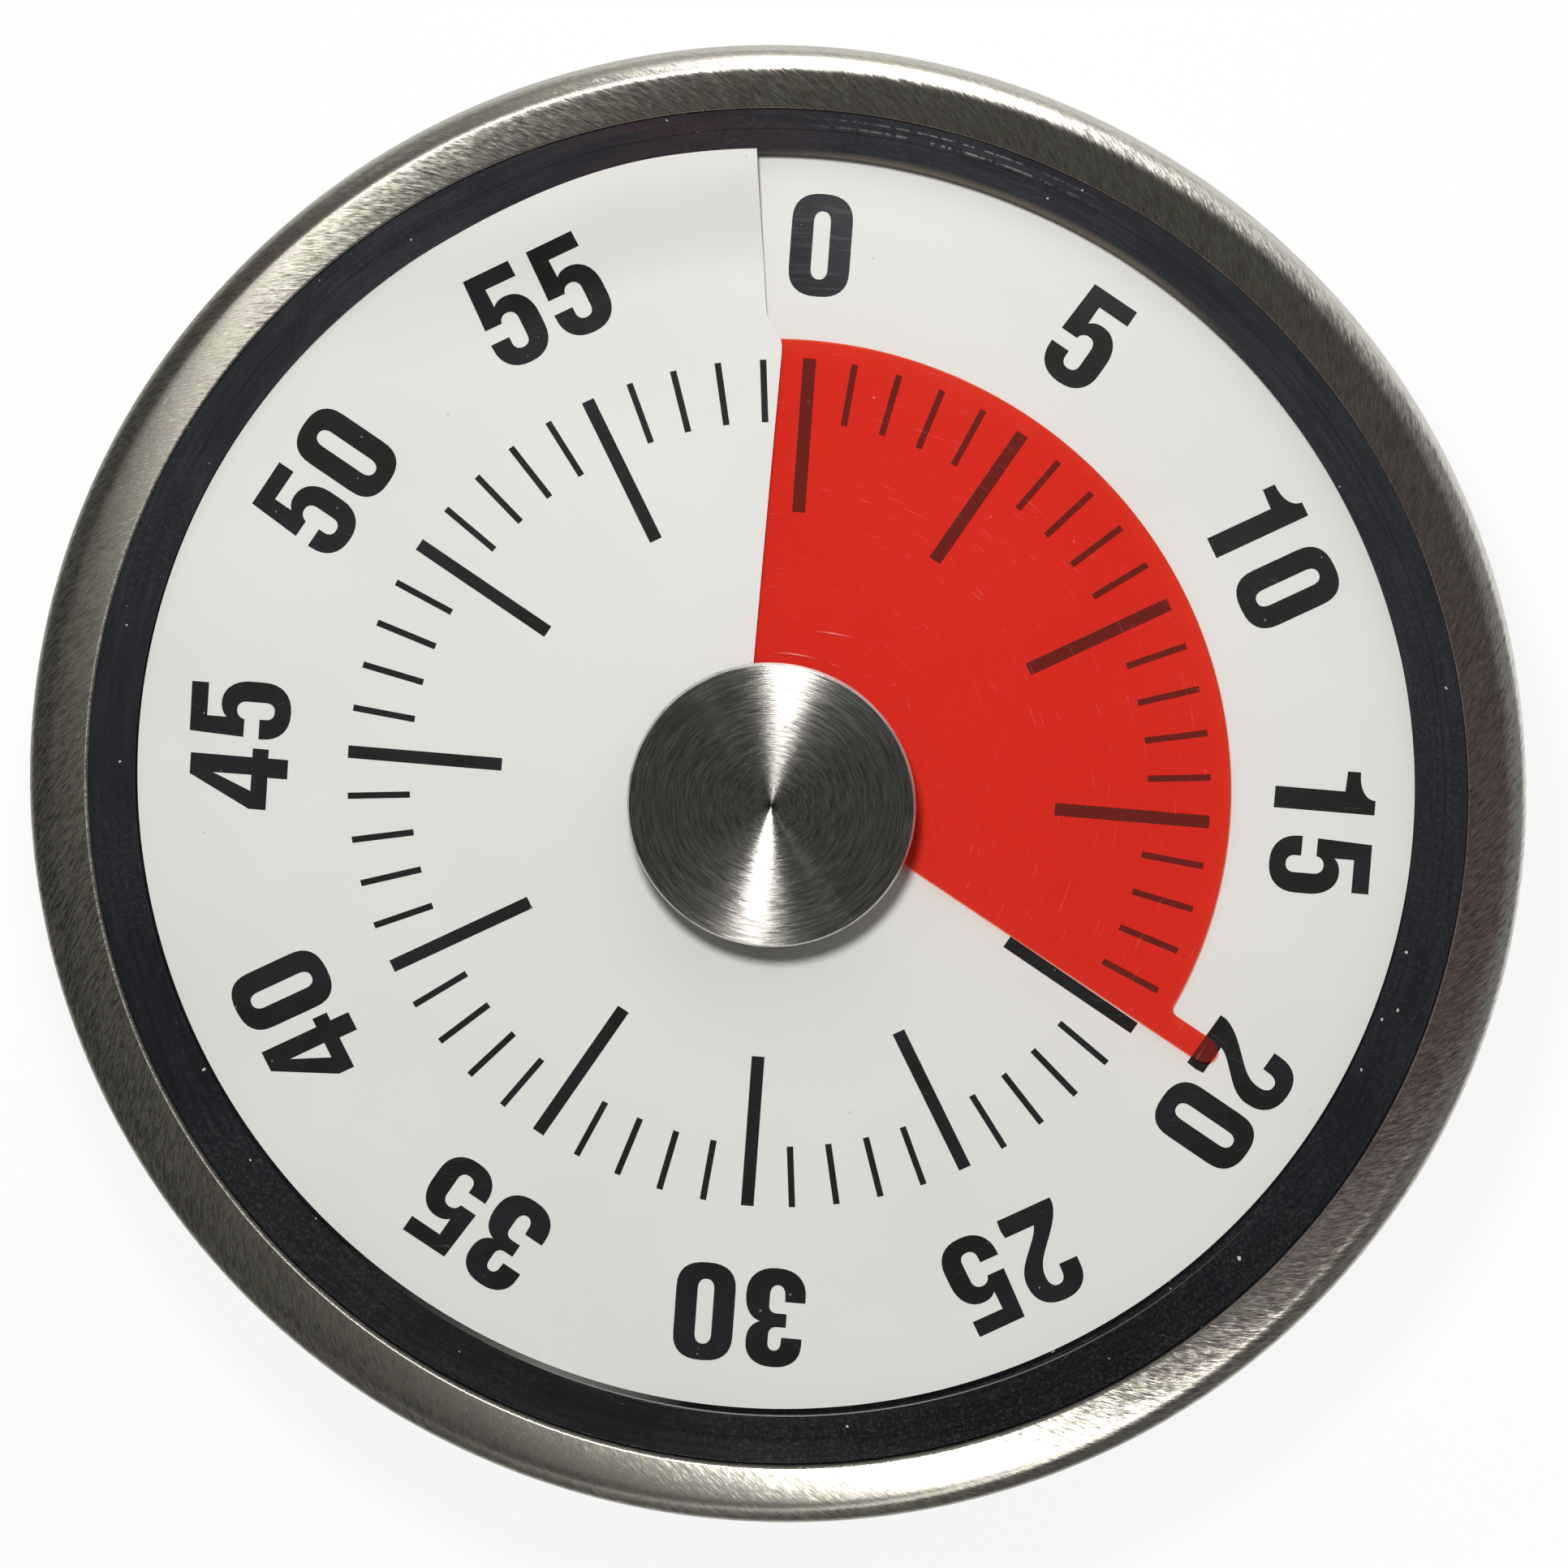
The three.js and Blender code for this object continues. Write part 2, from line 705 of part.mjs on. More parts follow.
// A toothed outline; a tooth, or a gap if gapFirst is true, is centred on the direction.
function toothed(teeth, toothModule, direction, gapFirst) {
  const pitch = 360 / teeth;
  const pitchRadius = (toothModule * teeth) / 2;
  const tip = pitchRadius + toothModule * toothRise;
  const root = pitchRadius - toothModule * toothSink;
  const start = direction + (gapFirst ? pitch / 2 : 0);
  const points = [];
  for (let i = 0; i < teeth; i++) {
    const centre = start + i * pitch;
    points.push(
      polar(root, centre - pitch * toothRootShare),
      polar(tip, centre - pitch * toothTipShare),
      polar(tip, centre + pitch * toothTipShare),
      polar(root, centre + pitch * toothRootShare),
    );
  }
  return points;
}

// The window between two spokes of a wheel.
function spokeWindow(inner, outer, from, to, bottom, top) {
  const innerEase = (spokeWidth / 2 / inner) * THREE.MathUtils.RAD2DEG;
  const outerEase = (spokeWidth / 2 / outer) * THREE.MathUtils.RAD2DEG;
  return plate([
    ...arc(outer, from + outerEase, to - outerEase, windowFacets),
    ...arc(inner, to - innerEase, from + innerEase, roundFacets),
  ], bottom, top);
}

function spoked(body, hub, rim, spokes, bottom, top) {
  let wheel = body;
  for (let i = 0; i < spokes; i++) {
    const from = (i * 360) / spokes;
    wheel = wheel.subtract(spokeWindow(hub, rim, from, from + 360 / spokes, bottom - 1, top + 1));
  }
  return wheel;
}

// The direction from one arbor to another.
function facing(from, to) {
  return Math.atan2(to[1] - from[1], to[0] - from[0]) * THREE.MathUtils.RAD2DEG;
}

const clickPlace = polar(clickDistance, clickAngle);

function greatWheel() {
  const outline = toothed(greatTeeth, greatModule, facing(main, second), false);
  return plate(outline, greatWheelBottom, greatWheelTop)
    .subtract(hole(arborRadius + fitGap, shaftFacets))
    .subtract(hole(clickStudRadius + fitGap, smallFacets, clickPlace));
}

// A wheel of the train on a thin arbor.
function trainWheel(teeth, direction, bottom) {
  const rim = (fineModule * teeth) / 2 - wheelRim;
  const top = bottom + wheelThickness;
  const blank = plate(toothed(teeth, fineModule, direction, false), bottom, top);
  return spoked(blank, wheelHub, rim, wheelSpokes, bottom, top)
    .subtract(hole(staffRadius + fitGap, smallFacets));
}

// A thin arbor with its pivots and a pinion cut on it.
function pinionArbor(leaves, toothModule, direction, bottom) {
  return staff().add(plate(toothed(leaves, toothModule, direction, true), bottom, bottom + pinionHeight));
}

function staff() {
  const low = backPlateTop + fitGap;
  const high = frontPlateBottom - fitGap;
  return turned([
    [0, backPlateBottom],
    [pivotRadius, backPlateBottom],
    [pivotRadius, low],
    [staffRadius, low],
    [staffRadius, high],
    [pivotRadius, high],
    [pivotRadius, frontPlateTop],
    [0, frontPlateTop],
  ], smallFacets);
}

function escapeWheel() {
  const pitch = 360 / escapeTeeth;
  const outline = [];
  for (let i = 0; i < escapeTeeth; i++) {
    outline.push(
      polar(escapeRadius - escapeToothDepth, i * pitch),
      polar(escapeRadius, (i + escapeTipStart) * pitch),
      polar(escapeRadius, (i + escapeTipEnd) * pitch),
    );
  }
  return plate(outline, escapeWheelBottom, escapeWheelBottom + wheelThickness)
    .subtract(hole(staffRadius + fitGap, smallFacets));
}

// ---------------------------------------------------------------- ratchet, click and mainspring

function ratchetWheel() {
  const pitch = 360 / ratchetTeeth;
  const outline = [];
  for (let i = 0; i < ratchetTeeth; i++) {
    outline.push(polar(ratchetRadius - ratchetDepth, i * pitch));
    outline.push(polar(ratchetRadius, (i + ratchetTip) * pitch));
  }
  return plate(outline, clickBottom, clickTop).subtract(hole(arborRadius + fitGap, shaftFacets));
}

const clickNose = polar(ratchetRadius + pieceGap, clickNoseAngle);

function clickLever() {
  const nose = bar(clickPlace, clickNose, clickNoseWidth, clickBottom, clickTop);
  return rod(clickArm, clickBottom, clickTop, shaftFacets, clickPlace)
    .add(nose)
    .subtract(hole(clickStudRadius + fitGap, smallFacets, clickPlace));
}

function clickStud() {
  const headBottom = clickTop + faceGap;
  return turned([
    [0, greatWheelBottom],
    [clickStudRadius, greatWheelBottom],
    [clickStudRadius, headBottom],
    [clickStudHeadRadius, headBottom],
    [clickStudHeadRadius, headBottom + clickStudHead],
    [0, headBottom + clickStudHead],
  ], smallFacets).translate([clickPlace[0], clickPlace[1], 0]);
}

// A leaf spring that follows the ratchet round and ends behind the click's nose.
function clickSpring() {
  const radius = (Math.hypot(...clickNose) + clickDistance) / 2 + clickArm;
  const to = clickNoseAngle - clickSpringLag;
  const from = to - clickSpringSweep;
  return plate([
    ...arc(radius, from, to, leafFacets),
    ...arc(radius - leafStrip, to, from, leafFacets),
  ], clickBottom, clickTop);
}

function mainspring() {
  const steps = springTurns * springSteps;
  const outer = [];
  const inner = [];
  for (let i = 0; i <= steps; i++) {
    const share = i / steps;
    const angle = share * springTurns * 360;
    const radius = springInner + (springOuter - springInner) * share;
    outer.push(polar(radius + springStrip, angle));
    inner.push(polar(radius, angle));
  }
  return plate([...outer, ...inner.reverse()], springBottom, springBottom + springHeight);
}

// ---------------------------------------------------------------- balance and strike

function balanceWheel() {
  const top = balanceBottom + wheelThickness;
  const blank = rod(balanceRadius, balanceBottom, top, discFacets / 2);
  return spoked(blank, balanceHub, balanceRadius - balanceRim, balanceSpokes, balanceBottom, top)
    .subtract(hole(staffRadius + fitGap, smallFacets));
}

// A round roller with a flat on each side, which lets the escape teeth past one by one.
function palletRoller() {
  const top = escapeWheelBottom + wheelThickness;
  const flats = bar([0, -palletRadius], [0, palletRadius], palletWidth, escapeWheelBottom, top);
  return flats
    .intersect(rod(palletRadius, escapeWheelBottom, top, shaftFacets))
    .add(rod(palletHub, escapeWheelBottom, top, smallFacets))
    .subtract(hole(staffRadius + fitGap, smallFacets));
}

// A round cam with one notch, which frees the hammer when the film is back at 0.
function strikeCam() {
  const notch = polar(camRadius, camNotchAngle - setAngle);
  return rod(camRadius, camTop - leverThickness, camTop, discFacets / 2)
    .subtract(hole(camNotch, smallFacets, notch))
    .subtract(hole(arborPivotRadius + fitGap, shaftFacets));
}

const hammerEnd = polar(bellRadius - hammerHeadRadius - hammerDraw, hammerAngle);

function hammerLever() {
  const bottom = camTop - leverThickness;
  return bar(hammerPivot, hammerTail, leverTailWidth, bottom, camTop)
    .add(bar(hammerPivot, hammerEnd, leverArmWidth, bottom, camTop))
    .add(rod(leverHubRadius, bottom, camTop, shaftFacets, hammerPivot))
    .subtract(hole(hammerStudRadius + fitGap, smallFacets, hammerPivot));
}

function hammerHead() {
  const top = camTop - leverThickness - faceGap;
  return rod(hammerHeadRadius, top - hammerHeadHeight, top, shaftFacets, hammerEnd);
}

function hammerStud() {
  const headTop = camTop - leverThickness - faceGap;
  return turned([
    [0, headTop - hammerStudHead],
    [hammerStudHeadRadius, headTop - hammerStudHead],
    [hammerStudHeadRadius, headTop],
    [hammerStudRadius, headTop],
    [hammerStudRadius, backPlateTop],
    [0, backPlateTop],
  ], smallFacets).translate([hammerPivot[0], hammerPivot[1], 0]);
}

// A straight leaf beside the lever's tail, which presses it towards the cam.
function hammerSpring() {
  const side = leverTailWidth / 2 + pieceGap + leafStrip / 2;
  const to = [hammerTail[0] + side, hammerTail[1] - hammerSpringShort];
  return bar(hammerSpringRoot, to, leafStrip, camTop - leverThickness, backPlateBottom - fitGap);
}

// ---------------------------------------------------------------- assembly

add('case_shell', caseShell(), steel);
add('rim_ring', rimRing(), blackGloss);
add('dial_plate', dialPlate(), whiteSheet);
add('chassis', chassis(), blackMatte);
add('back_cover', backCover(), blackMatte);
add('magnet_disc', rod(magnetRadius, 0, magnetThickness, discFacets), ferrite);
coverPosts().forEach((place, i) => {
  const top = coverScrewSunk + coverScrewReach;
  const body = screw(coverScrewHeadRadius, coverScrewHead, coverScrewRadius, coverScrewSunk, top);
  add(`cover_screw_${i + 1}`, body, spunSteel, place);
});

add('bell', bell(), steel);
const bellScrewTop = bellBottom + bellWall + faceGap + bellScrewHead;
const bellScrewBottom = coverBossTop - bellScrewDepth + fitGap;
const bellScrew = screwDown(
  bellScrewHeadRadius,
  bellScrewHead,
  bellScrewRadius,
  bellScrewBottom,
  bellScrewTop,
);
add('bell_screw', bellScrew, spunSteel);

add('back_plate', backPlate(), steel);
add('front_plate', frontPlate(), steel);
pillarPlaces().forEach((place, i) => {
  add(`pillar_${i + 1}`, pillar(), brass, place);
  const top = frontPlateTop + faceGap + screwHead;
  const body = screwDown(screwHeadRadius, screwHead, screwRadius, frontPlateBottom - plateScrewReach, top);
  add(`plate_screw_${i + 1}`, body, spunSteel, place);
});
movementScrewPlaces().forEach((place, i) => {
  const bottom = frontPlateBottom - faceGap - screwHead;
  const body = screw(screwHeadRadius, screwHead, screwRadius, bottom, chassisTop - 2 * pieceGap);
  add(`movement_screw_${i + 1}`, body, spunSteel, place);
});

add('main_arbor', mainArbor(), springSteel);
add('knob_cap', knobCap(), spunSteel);
add('knob_core', knobCore(), blackMatte);
add('film_hub', filmHub(), blackMatte);
add('red_film', redFilm(), redSheet);
add('ratchet_wheel', ratchetWheel(), springSteel);
add('strike_cam', strikeCam(), brass);

add('great_wheel', greatWheel(), brass);
add('click_stud', clickStud(), springSteel);
add('click_lever', clickLever(), springSteel);
add('click_spring', clickSpring(), springSteel);
add('mainspring', mainspring(), springSteel);
add('spring_post', rod(springPostRadius, springBottom, frontPlateTop, smallFacets), springSteel, springPost);

const greatPinionBottom = greatWheelBottom - pieceGap;
const secondArbor = pinionArbor(secondPinionLeaves, greatModule, facing(second, main), greatPinionBottom);
add('second_arbor', secondArbor, springSteel, second);
add('second_wheel', trainWheel(secondTeeth, facing(second, third), secondWheelBottom), nylon, second);
const lowPinionBottom = secondWheelBottom - pieceGap;
const thirdArbor = pinionArbor(thirdPinionLeaves, fineModule, facing(third, second), lowPinionBottom);
add('third_arbor', thirdArbor, springSteel, third);
add('third_wheel', trainWheel(thirdTeeth, facing(third, escape), thirdWheelBottom), nylon, third);
const highPinionBottom = thirdWheelBottom - pieceGap;
const escapeArbor = pinionArbor(escapePinionLeaves, fineModule, facing(escape, third), highPinionBottom);
add('escape_arbor', escapeArbor, springSteel, escape);
add('escape_wheel', escapeWheel(), nylon, escape);

add('balance_staff', staff(), springSteel, balance);
add('balance_wheel', balanceWheel(), brass, balance);
add('pallet_roller', palletRoller(), springSteel, balance);

add('hammer_stud', hammerStud(), springSteel);
add('hammer_lever', hammerLever(), springSteel);
add('hammer_head', hammerHead(), brass);
add('hammer_spring', hammerSpring(), springSteel);

export default timer;
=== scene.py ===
# %% [markdown]
# # A mechanical kitchen timer
# The timer lies on its back: a brushed steel case, a glossy black ring, a white minute dial and, under a spun
# steel knob, a disc of clear red film that comes up through a slit in the dial. The minutes left to run are the
# red sector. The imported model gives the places, sizes and joints of every piece. This script adds what the eye
# sees: fine shapes where the case is smooth and round, thin sheets where the model has plates, and a finish for
# every piece, inside and out.

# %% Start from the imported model
import math

import bmesh
import bpy
from mathutils import Matrix, Vector


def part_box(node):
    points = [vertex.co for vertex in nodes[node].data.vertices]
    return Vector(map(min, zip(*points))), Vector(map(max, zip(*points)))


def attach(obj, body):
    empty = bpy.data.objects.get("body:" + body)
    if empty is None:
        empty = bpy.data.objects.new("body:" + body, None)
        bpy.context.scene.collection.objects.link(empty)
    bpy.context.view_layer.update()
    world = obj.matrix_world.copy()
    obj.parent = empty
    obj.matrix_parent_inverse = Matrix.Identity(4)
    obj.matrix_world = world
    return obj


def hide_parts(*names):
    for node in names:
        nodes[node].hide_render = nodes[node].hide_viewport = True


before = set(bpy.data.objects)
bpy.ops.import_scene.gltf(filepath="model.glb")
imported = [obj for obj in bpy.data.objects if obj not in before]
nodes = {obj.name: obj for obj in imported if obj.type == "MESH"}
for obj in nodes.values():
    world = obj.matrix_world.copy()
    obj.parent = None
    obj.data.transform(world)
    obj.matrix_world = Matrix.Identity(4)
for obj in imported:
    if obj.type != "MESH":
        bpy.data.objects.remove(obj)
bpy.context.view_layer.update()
MM = 0.001


def reach(node):
    """The radius of a round node about the timer's axis, in millimetres."""
    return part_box(node)[1][0] / MM


def foot(node):
    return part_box(node)[0][2] / MM


def head(node):
    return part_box(node)[1][2] / MM


print("case radius", round(reach("case_shell"), 2), "height", round(head("knob_cap"), 2))

# %% [markdown]
# ## The camera
# The dial is seen from almost straight above, through a long lens, from a little towards the 0 mark and the 15
# mark, and with the camera rolled by about four degrees. A long lens keeps the circles of the case, the ring and
# the knob close to true circles, as on a catalogue picture. The camera's place is written in millimetres from
# the middle of the dial, and its direction comes from the point that it aims at.

# %% Camera
def placed(name, data):
    """A new object in the scene, from its data."""
    made = bpy.data.objects.new(name, data)
    bpy.context.collection.objects.link(made)
    return made


DIAL_FACE = head("dial_plate")
EYE = Vector((24.72, 92.14, 459.84 + DIAL_FACE)) * MM
AIM = Vector((0.31, 0.18, DIAL_FACE)) * MM
ROLL = math.radians(4.2)

camera_data = bpy.data.cameras.new("camera")
camera_data.lens = 204.97
camera_data.sensor_width = 36
camera_data.clip_start = 0.01
camera_data.clip_end = 20
camera = placed("camera", camera_data)
ahead = (AIM - EYE).normalized()
right = ahead.cross(Vector((0, 1, 0))).normalized()
upward = right.cross(ahead)
turned_right = right * math.cos(ROLL) + upward * math.sin(ROLL)
turned_up = upward * math.cos(ROLL) - right * math.sin(ROLL)
camera.matrix_world = Matrix((turned_right, turned_up, -ahead)).transposed().to_4x4()
camera.location = EYE
bpy.context.scene.camera = camera
print("camera right", [round(v, 4) for v in turned_right], "up", [round(v, 4) for v in turned_up])

# %% [markdown]
# ## Floor, lamps and sky
# The timer lies on a white table. The floor's own colour is white, and to the eye, in gloss and through clear
# film it also shines a little, so that it reads as plain white while it keeps the timer's soft shadow. One lamp
# of a few fingers' width stands towards the 0 mark, steep above the dial: it draws the bow tie on the knob, the
# bright arcs on the case and the short shadow under the knob. The sky is dark overhead, as in a small studio, so
# flat steel stays dark where the lamp isn't mirrored. Behind the lamp there is a pale wall and a white horizon, and
# away from it the horizon is dim, so the far half of the rolled edge is bright and the near half is dark.

# %% Floor
def material(name):
    """A new material with an empty node tree, and its output node."""
    made = bpy.data.materials.new(name)
    made.use_nodes = True
    made.node_tree.nodes.clear()
    return made, made.node_tree, made.node_tree.nodes.new("ShaderNodeOutputMaterial")


def node(tree, kind, inputs=None, **settings):
    """A new node: settings are its properties, and inputs are values or the sockets that feed it."""
    made = tree.nodes.new(kind)
    for key, value in settings.items():
        setattr(made, key, value)
    for key, value in (inputs or {}).items():
        if isinstance(value, bpy.types.NodeSocket):
            tree.links.new(value, made.inputs[key])
        else:
            made.inputs[key].default_value = value
    return made


def maths(operation, *values):
    """The result of one Math node, in the tree that a value's socket belongs to."""
    tree = next(value for value in values if isinstance(value, bpy.types.NodeSocket)).id_data
    return node(tree, "ShaderNodeMath", dict(enumerate(values)), operation=operation).outputs[0]


def times(first, second):
    return maths("MULTIPLY", first, second)


def plus(first, second):
    return maths("ADD", first, second)


def minus(first, second):
    return maths("SUBTRACT", first, second)


def most(first, second):
    return maths("MAXIMUM", first, second)


def vectors(operation, first, second=None):
    """The result of one Vector Math node on two vectors, or on one."""
    inputs = {0: first} if second is None else {0: first, 1: second}
    return node(first.id_data, "ShaderNodeVectorMath", inputs, operation=operation).outputs[0]


def scaled(vector, factor):
    """A vector times a number."""
    return node(vector.id_data, "ShaderNodeVectorMath", {0: vector, "Scale": factor}, operation="SCALE").outputs[0]


def length(vector):
    return node(vector.id_data, "ShaderNodeVectorMath", {0: vector}, operation="LENGTH").outputs["Value"]


def part(vector, axis):
    """One coordinate of a vector."""
    return node(vector.id_data, "ShaderNodeSeparateXYZ", {0: vector}).outputs[axis]


def joined(x, y, z=0.0):
    """A vector from its coordinates."""
    tree = next(value for value in (x, y, z) if isinstance(value, bpy.types.NodeSocket)).id_data
    return node(tree, "ShaderNodeCombineXYZ", {0: x, 1: y, 2: z}).outputs[0]


def blend(factor, first, second):
    """Two colours, each a colour or a socket, mixed by a factor."""
    first, second = (c if isinstance(c, bpy.types.NodeSocket) else (*c, 1) for c in (first, second))
    return node(factor.id_data, "ShaderNodeMix", {0: factor, 6: first, 7: second}, data_type="RGBA").outputs[2]


FLOOR_GLOW = 0.90
floor_paint, tree, output = material("white_table")
path = node(tree, "ShaderNodeLightPath")
seen = most(path.outputs["Is Camera Ray"], path.outputs["Is Glossy Ray"])
seen = most(seen, path.outputs["Is Transmission Ray"])
matte = node(tree, "ShaderNodeBsdfDiffuse", {"Color": (0.93, 0.93, 0.93, 1)})
shine = node(tree, "ShaderNodeEmission", {"Color": (1, 1, 1, 1), "Strength": 1.0})
floor_mix = node(tree, "ShaderNodeMixShader", {
    0: times(seen, FLOOR_GLOW), 1: matte.outputs[0], 2: shine.outputs[0],
})
tree.links.new(floor_mix.outputs[0], output.inputs["Surface"])

FLOOR_HALF = 3.0
floor_mesh = bpy.data.meshes.new("table")
floor_mesh.from_pydata(
    [(x * FLOOR_HALF, y * FLOOR_HALF, -0.0001) for x, y in ((-1, -1), (1, -1), (1, 1), (-1, 1))], [], [(0, 1, 2, 3)]
)
floor_mesh.materials.append(floor_paint)
table_top = placed("table", floor_mesh)

# %% Lamps
def lamp(name, tilt, azimuth, distance, size, watts, colour=(1, 1, 1)):
    """A round lamp aimed at the dial: tilt is from straight above, azimuth is counter-clockwise from the 15 mark."""
    data = bpy.data.lights.new(name, "AREA")
    data.shape = "DISK"
    data.size = size * MM
    data.energy = watts
    data.color = colour
    made = placed(name, data)
    away = Vector((
        math.sin(math.radians(tilt)) * math.cos(math.radians(azimuth)),
        math.sin(math.radians(tilt)) * math.sin(math.radians(azimuth)),
        math.cos(math.radians(tilt)),
    ))
    made.location = Vector((0, 0, DIAL_FACE * MM)) + away * distance * MM
    made.rotation_euler = (-away).to_track_quat("-Z", "Y").to_euler()
    return made


lamp("key_lamp", tilt=20, azimuth=91.6, distance=300, size=30, watts=0.76, colour=(1.0, 0.985, 0.96))
lamp("far_lamp", tilt=36, azimuth=139, distance=600, size=24, watts=0.05)

# %% Sky
world = bpy.data.worlds.new("studio")
bpy.context.scene.world = world
world.use_nodes = True
tree = world.node_tree
tree.nodes.clear()
direction = node(tree, "ShaderNodeTexCoord").outputs["Generated"]


def smooth(value, start, end):
    """A soft step from 0 to 1 between two values."""
    return node(value.id_data, "ShaderNodeMapRange", {
        "Value": value, "From Min": start, "From Max": end, "To Min": 0.0, "To Max": 1.0,
    }, interpolation_type="SMOOTHSTEP").outputs[0]


def toward(aim, low, high):
    """How closely the sky's direction agrees with an aim: 0 below the first cosine, 1 above the second."""
    cosine = node(tree, "ShaderNodeVectorMath", {0: direction, 1: aim}, operation="DOT_PRODUCT").outputs["Value"]
    return smooth(cosine, low, high)


LAMP_SIDE = (0.087, 0.996, 0.0)
PALE_WALL = (0.231, 0.806, 0.545)
horizon = blend(toward(LAMP_SIDE, -0.4, 0.6), (0.26, 0.257, 0.25), (1.0, 1.0, 1.0))
sky = blend(smooth(part(direction, "Z"), 0.08, 0.40), horizon, (0.135, 0.132, 0.126))
sky = blend(toward(PALE_WALL, 0.76, 0.93), sky, (0.92, 0.91, 0.89))
sky = blend(node(tree, "ShaderNodeLightPath").outputs["Is Camera Ray"], sky, (1.0, 1.0, 1.0))
glow = node(tree, "ShaderNodeBackground", {"Color": sky, "Strength": 1.0})
node(tree, "ShaderNodeOutputWorld", {"Surface": glow.outputs[0]})
bpy.context.scene.view_settings.view_transform = "Standard"
print("stage is set")

# %% [markdown]
# ## Tools for turned and sheet pieces
# Most of the timer is turned: a profile swept round the axis. Blender's Spin or Screw could do that, but a few
# lines of mesh code give full control of the number of steps and of the corners, which real metal and plastic
# never leave sharp. A thin sheet is made as one layer of faces and then given its thickness.

# %% Mesh helpers
def piece(name, points, faces, sharp=35):
    """An object from points in millimetres: doubles merged, faces outwards, smooth apart from its real edges."""
    mesh = bpy.data.meshes.new(name)
    mesh.from_pydata([(x * MM, y * MM, z * MM) for x, y, z in points], [], faces)
    shape = bmesh.new()
    shape.from_mesh(mesh)
    bmesh.ops.remove_doubles(shape, verts=shape.verts, dist=1e-6)
    bmesh.ops.dissolve_degenerate(shape, edges=shape.edges, dist=1e-8)
    bmesh.ops.recalc_face_normals(shape, faces=shape.faces)
    shape.to_mesh(mesh)
    shape.free()
    mesh.shade_smooth()
    mesh.set_sharp_from_angle(angle=math.radians(sharp))
    return placed(name, mesh)


def turned(name, profile, steps=288, sharp=35):
    """A closed [radius, height] profile swept round the timer's axis."""
    count = len(profile)
    points = []
    faces = []
    for step in range(steps):
        angle = 2 * math.pi * step / steps
        points += [(r * math.cos(angle), r * math.sin(angle), z) for r, z in profile]
    for step in range(steps):
        here = step * count
        there = ((step + 1) % steps) * count
        for k in range(count):
            after = (k + 1) % count
            if profile[k][0] > 0 or profile[after][0] > 0:
                faces.append((here + k, there + k, there + after, here + after))
    return piece(name, points, faces, sharp)


def eased(corners, steps=5):
    """A closed outline from (x, y, radius) corners, each rounded by its radius."""
    outline = []
    for i, (x, y, radius) in enumerate(corners):
        if radius == 0:
            outline.append((x, y))
            continue
        corner = Vector((x, y))
        back = (Vector(corners[i - 1][:2]) - corner).normalized()
        on = (Vector(corners[(i + 1) % len(corners)][:2]) - corner).normalized()
        half = back.angle(on) / 2
        centre = corner + (back + on).normalized() * radius / math.sin(half)
        start = corner + back * radius / math.tan(half) - centre
        end = corner + on * radius / math.tan(half) - centre
        first = math.atan2(start.y, start.x)
        sweep = (math.atan2(end.y, end.x) - first + math.pi) % (2 * math.pi) - math.pi
        for k in range(steps + 1):
            angle = first + sweep * k / steps
            outline.append((centre.x + radius * math.cos(angle), centre.y + radius * math.sin(angle)))
    return outline


def thicken(points, faces, thickness):
    """One layer of faces, given a thickness downwards and closed along its rim."""
    count = len(points)
    solid_points = list(points) + [(x, y, z - thickness) for x, y, z in points]
    solid_faces = [tuple(face) for face in faces] + [tuple(i + count for i in reversed(face)) for face in faces]
    sides = {}
    for face in faces:
        for i, first in enumerate(face):
            second = face[(i + 1) % len(face)]
            if (second, first) in sides:
                del sides[(second, first)]
            else:
                sides[(first, second)] = True
    solid_faces += [(second, first, first + count, second + count) for first, second in sides]
    return solid_points, solid_faces


def finish_piece(made, body, slot, paint, *replaced):
    """Gives a piece its paint and its body, and says which nodes it stands for. Its slot is not used."""
    made.data.materials.clear()
    made.data.materials.append(paint)
    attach(made, body)
    if replaced:
        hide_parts(*replaced)
    print(made.name, len(made.data.polygons), "faces")


# %% [markdown]
# ## Shared effects
# Some effects come back in several finishes: the lines that a turning or brushing tool leaves, fine hair
# scratches and dust. Each is a node group with named inputs, built once. The grain group works in polar
# coordinates about the timer's axis, so its lines may run as circles, as spokes or as spirals, and it joins up
# with itself all the way round because it reads the cosine and the sine of the angle.

# %% Node groups
FLOAT = "NodeSocketFloat"
VECTOR = "NodeSocketVector"


def group(name, outcome, kind=FLOAT, **inputs):
    """A shader node group from a position and some numbers, with their usual values, to one outcome."""
    tree = bpy.data.node_groups.new(name, "ShaderNodeTree")
    tree.interface.new_socket("Position", in_out="INPUT", socket_type=VECTOR)
    for title, usual in inputs.items():
        tree.interface.new_socket(title, in_out="INPUT", socket_type=FLOAT).default_value = usual
    tree.interface.new_socket(outcome, in_out="OUTPUT", socket_type=kind)
    return tree, tree.nodes.new("NodeGroupInput").outputs, tree.nodes.new("NodeGroupOutput")


def spread(value, low, high, start=0.0, end=1.0):
    """A value from start to end brought to low to high."""
    return node(value.id_data, "ShaderNodeMapRange", {
        "Value": value, "From Min": start, "From Max": end, "To Min": low, "To Max": high,
    }).outputs[0]


def within(value, start, end):
    """0 up to the start of a band, 1 from its end."""
    return spread(value, 0.0, 1.0, start, end)


def near(value, middle, half):
    """1 where a value is at the middle, falling to 0 at a distance of half."""
    return spread(maths("ABSOLUTE", minus(value, middle)), 1.0, 0.0, 0.0, half)


def noise(spot, scale, detail, roughness=0.5, colour=False):
    """Cloudy noise from 0 to 1, or its three-part colour."""
    made = node(spot.id_data, "ShaderNodeTexNoise", {
        "Vector": spot, "Scale": scale, "Detail": detail, "Roughness": roughness,
    })
    return made.outputs["Color" if colour else 0]


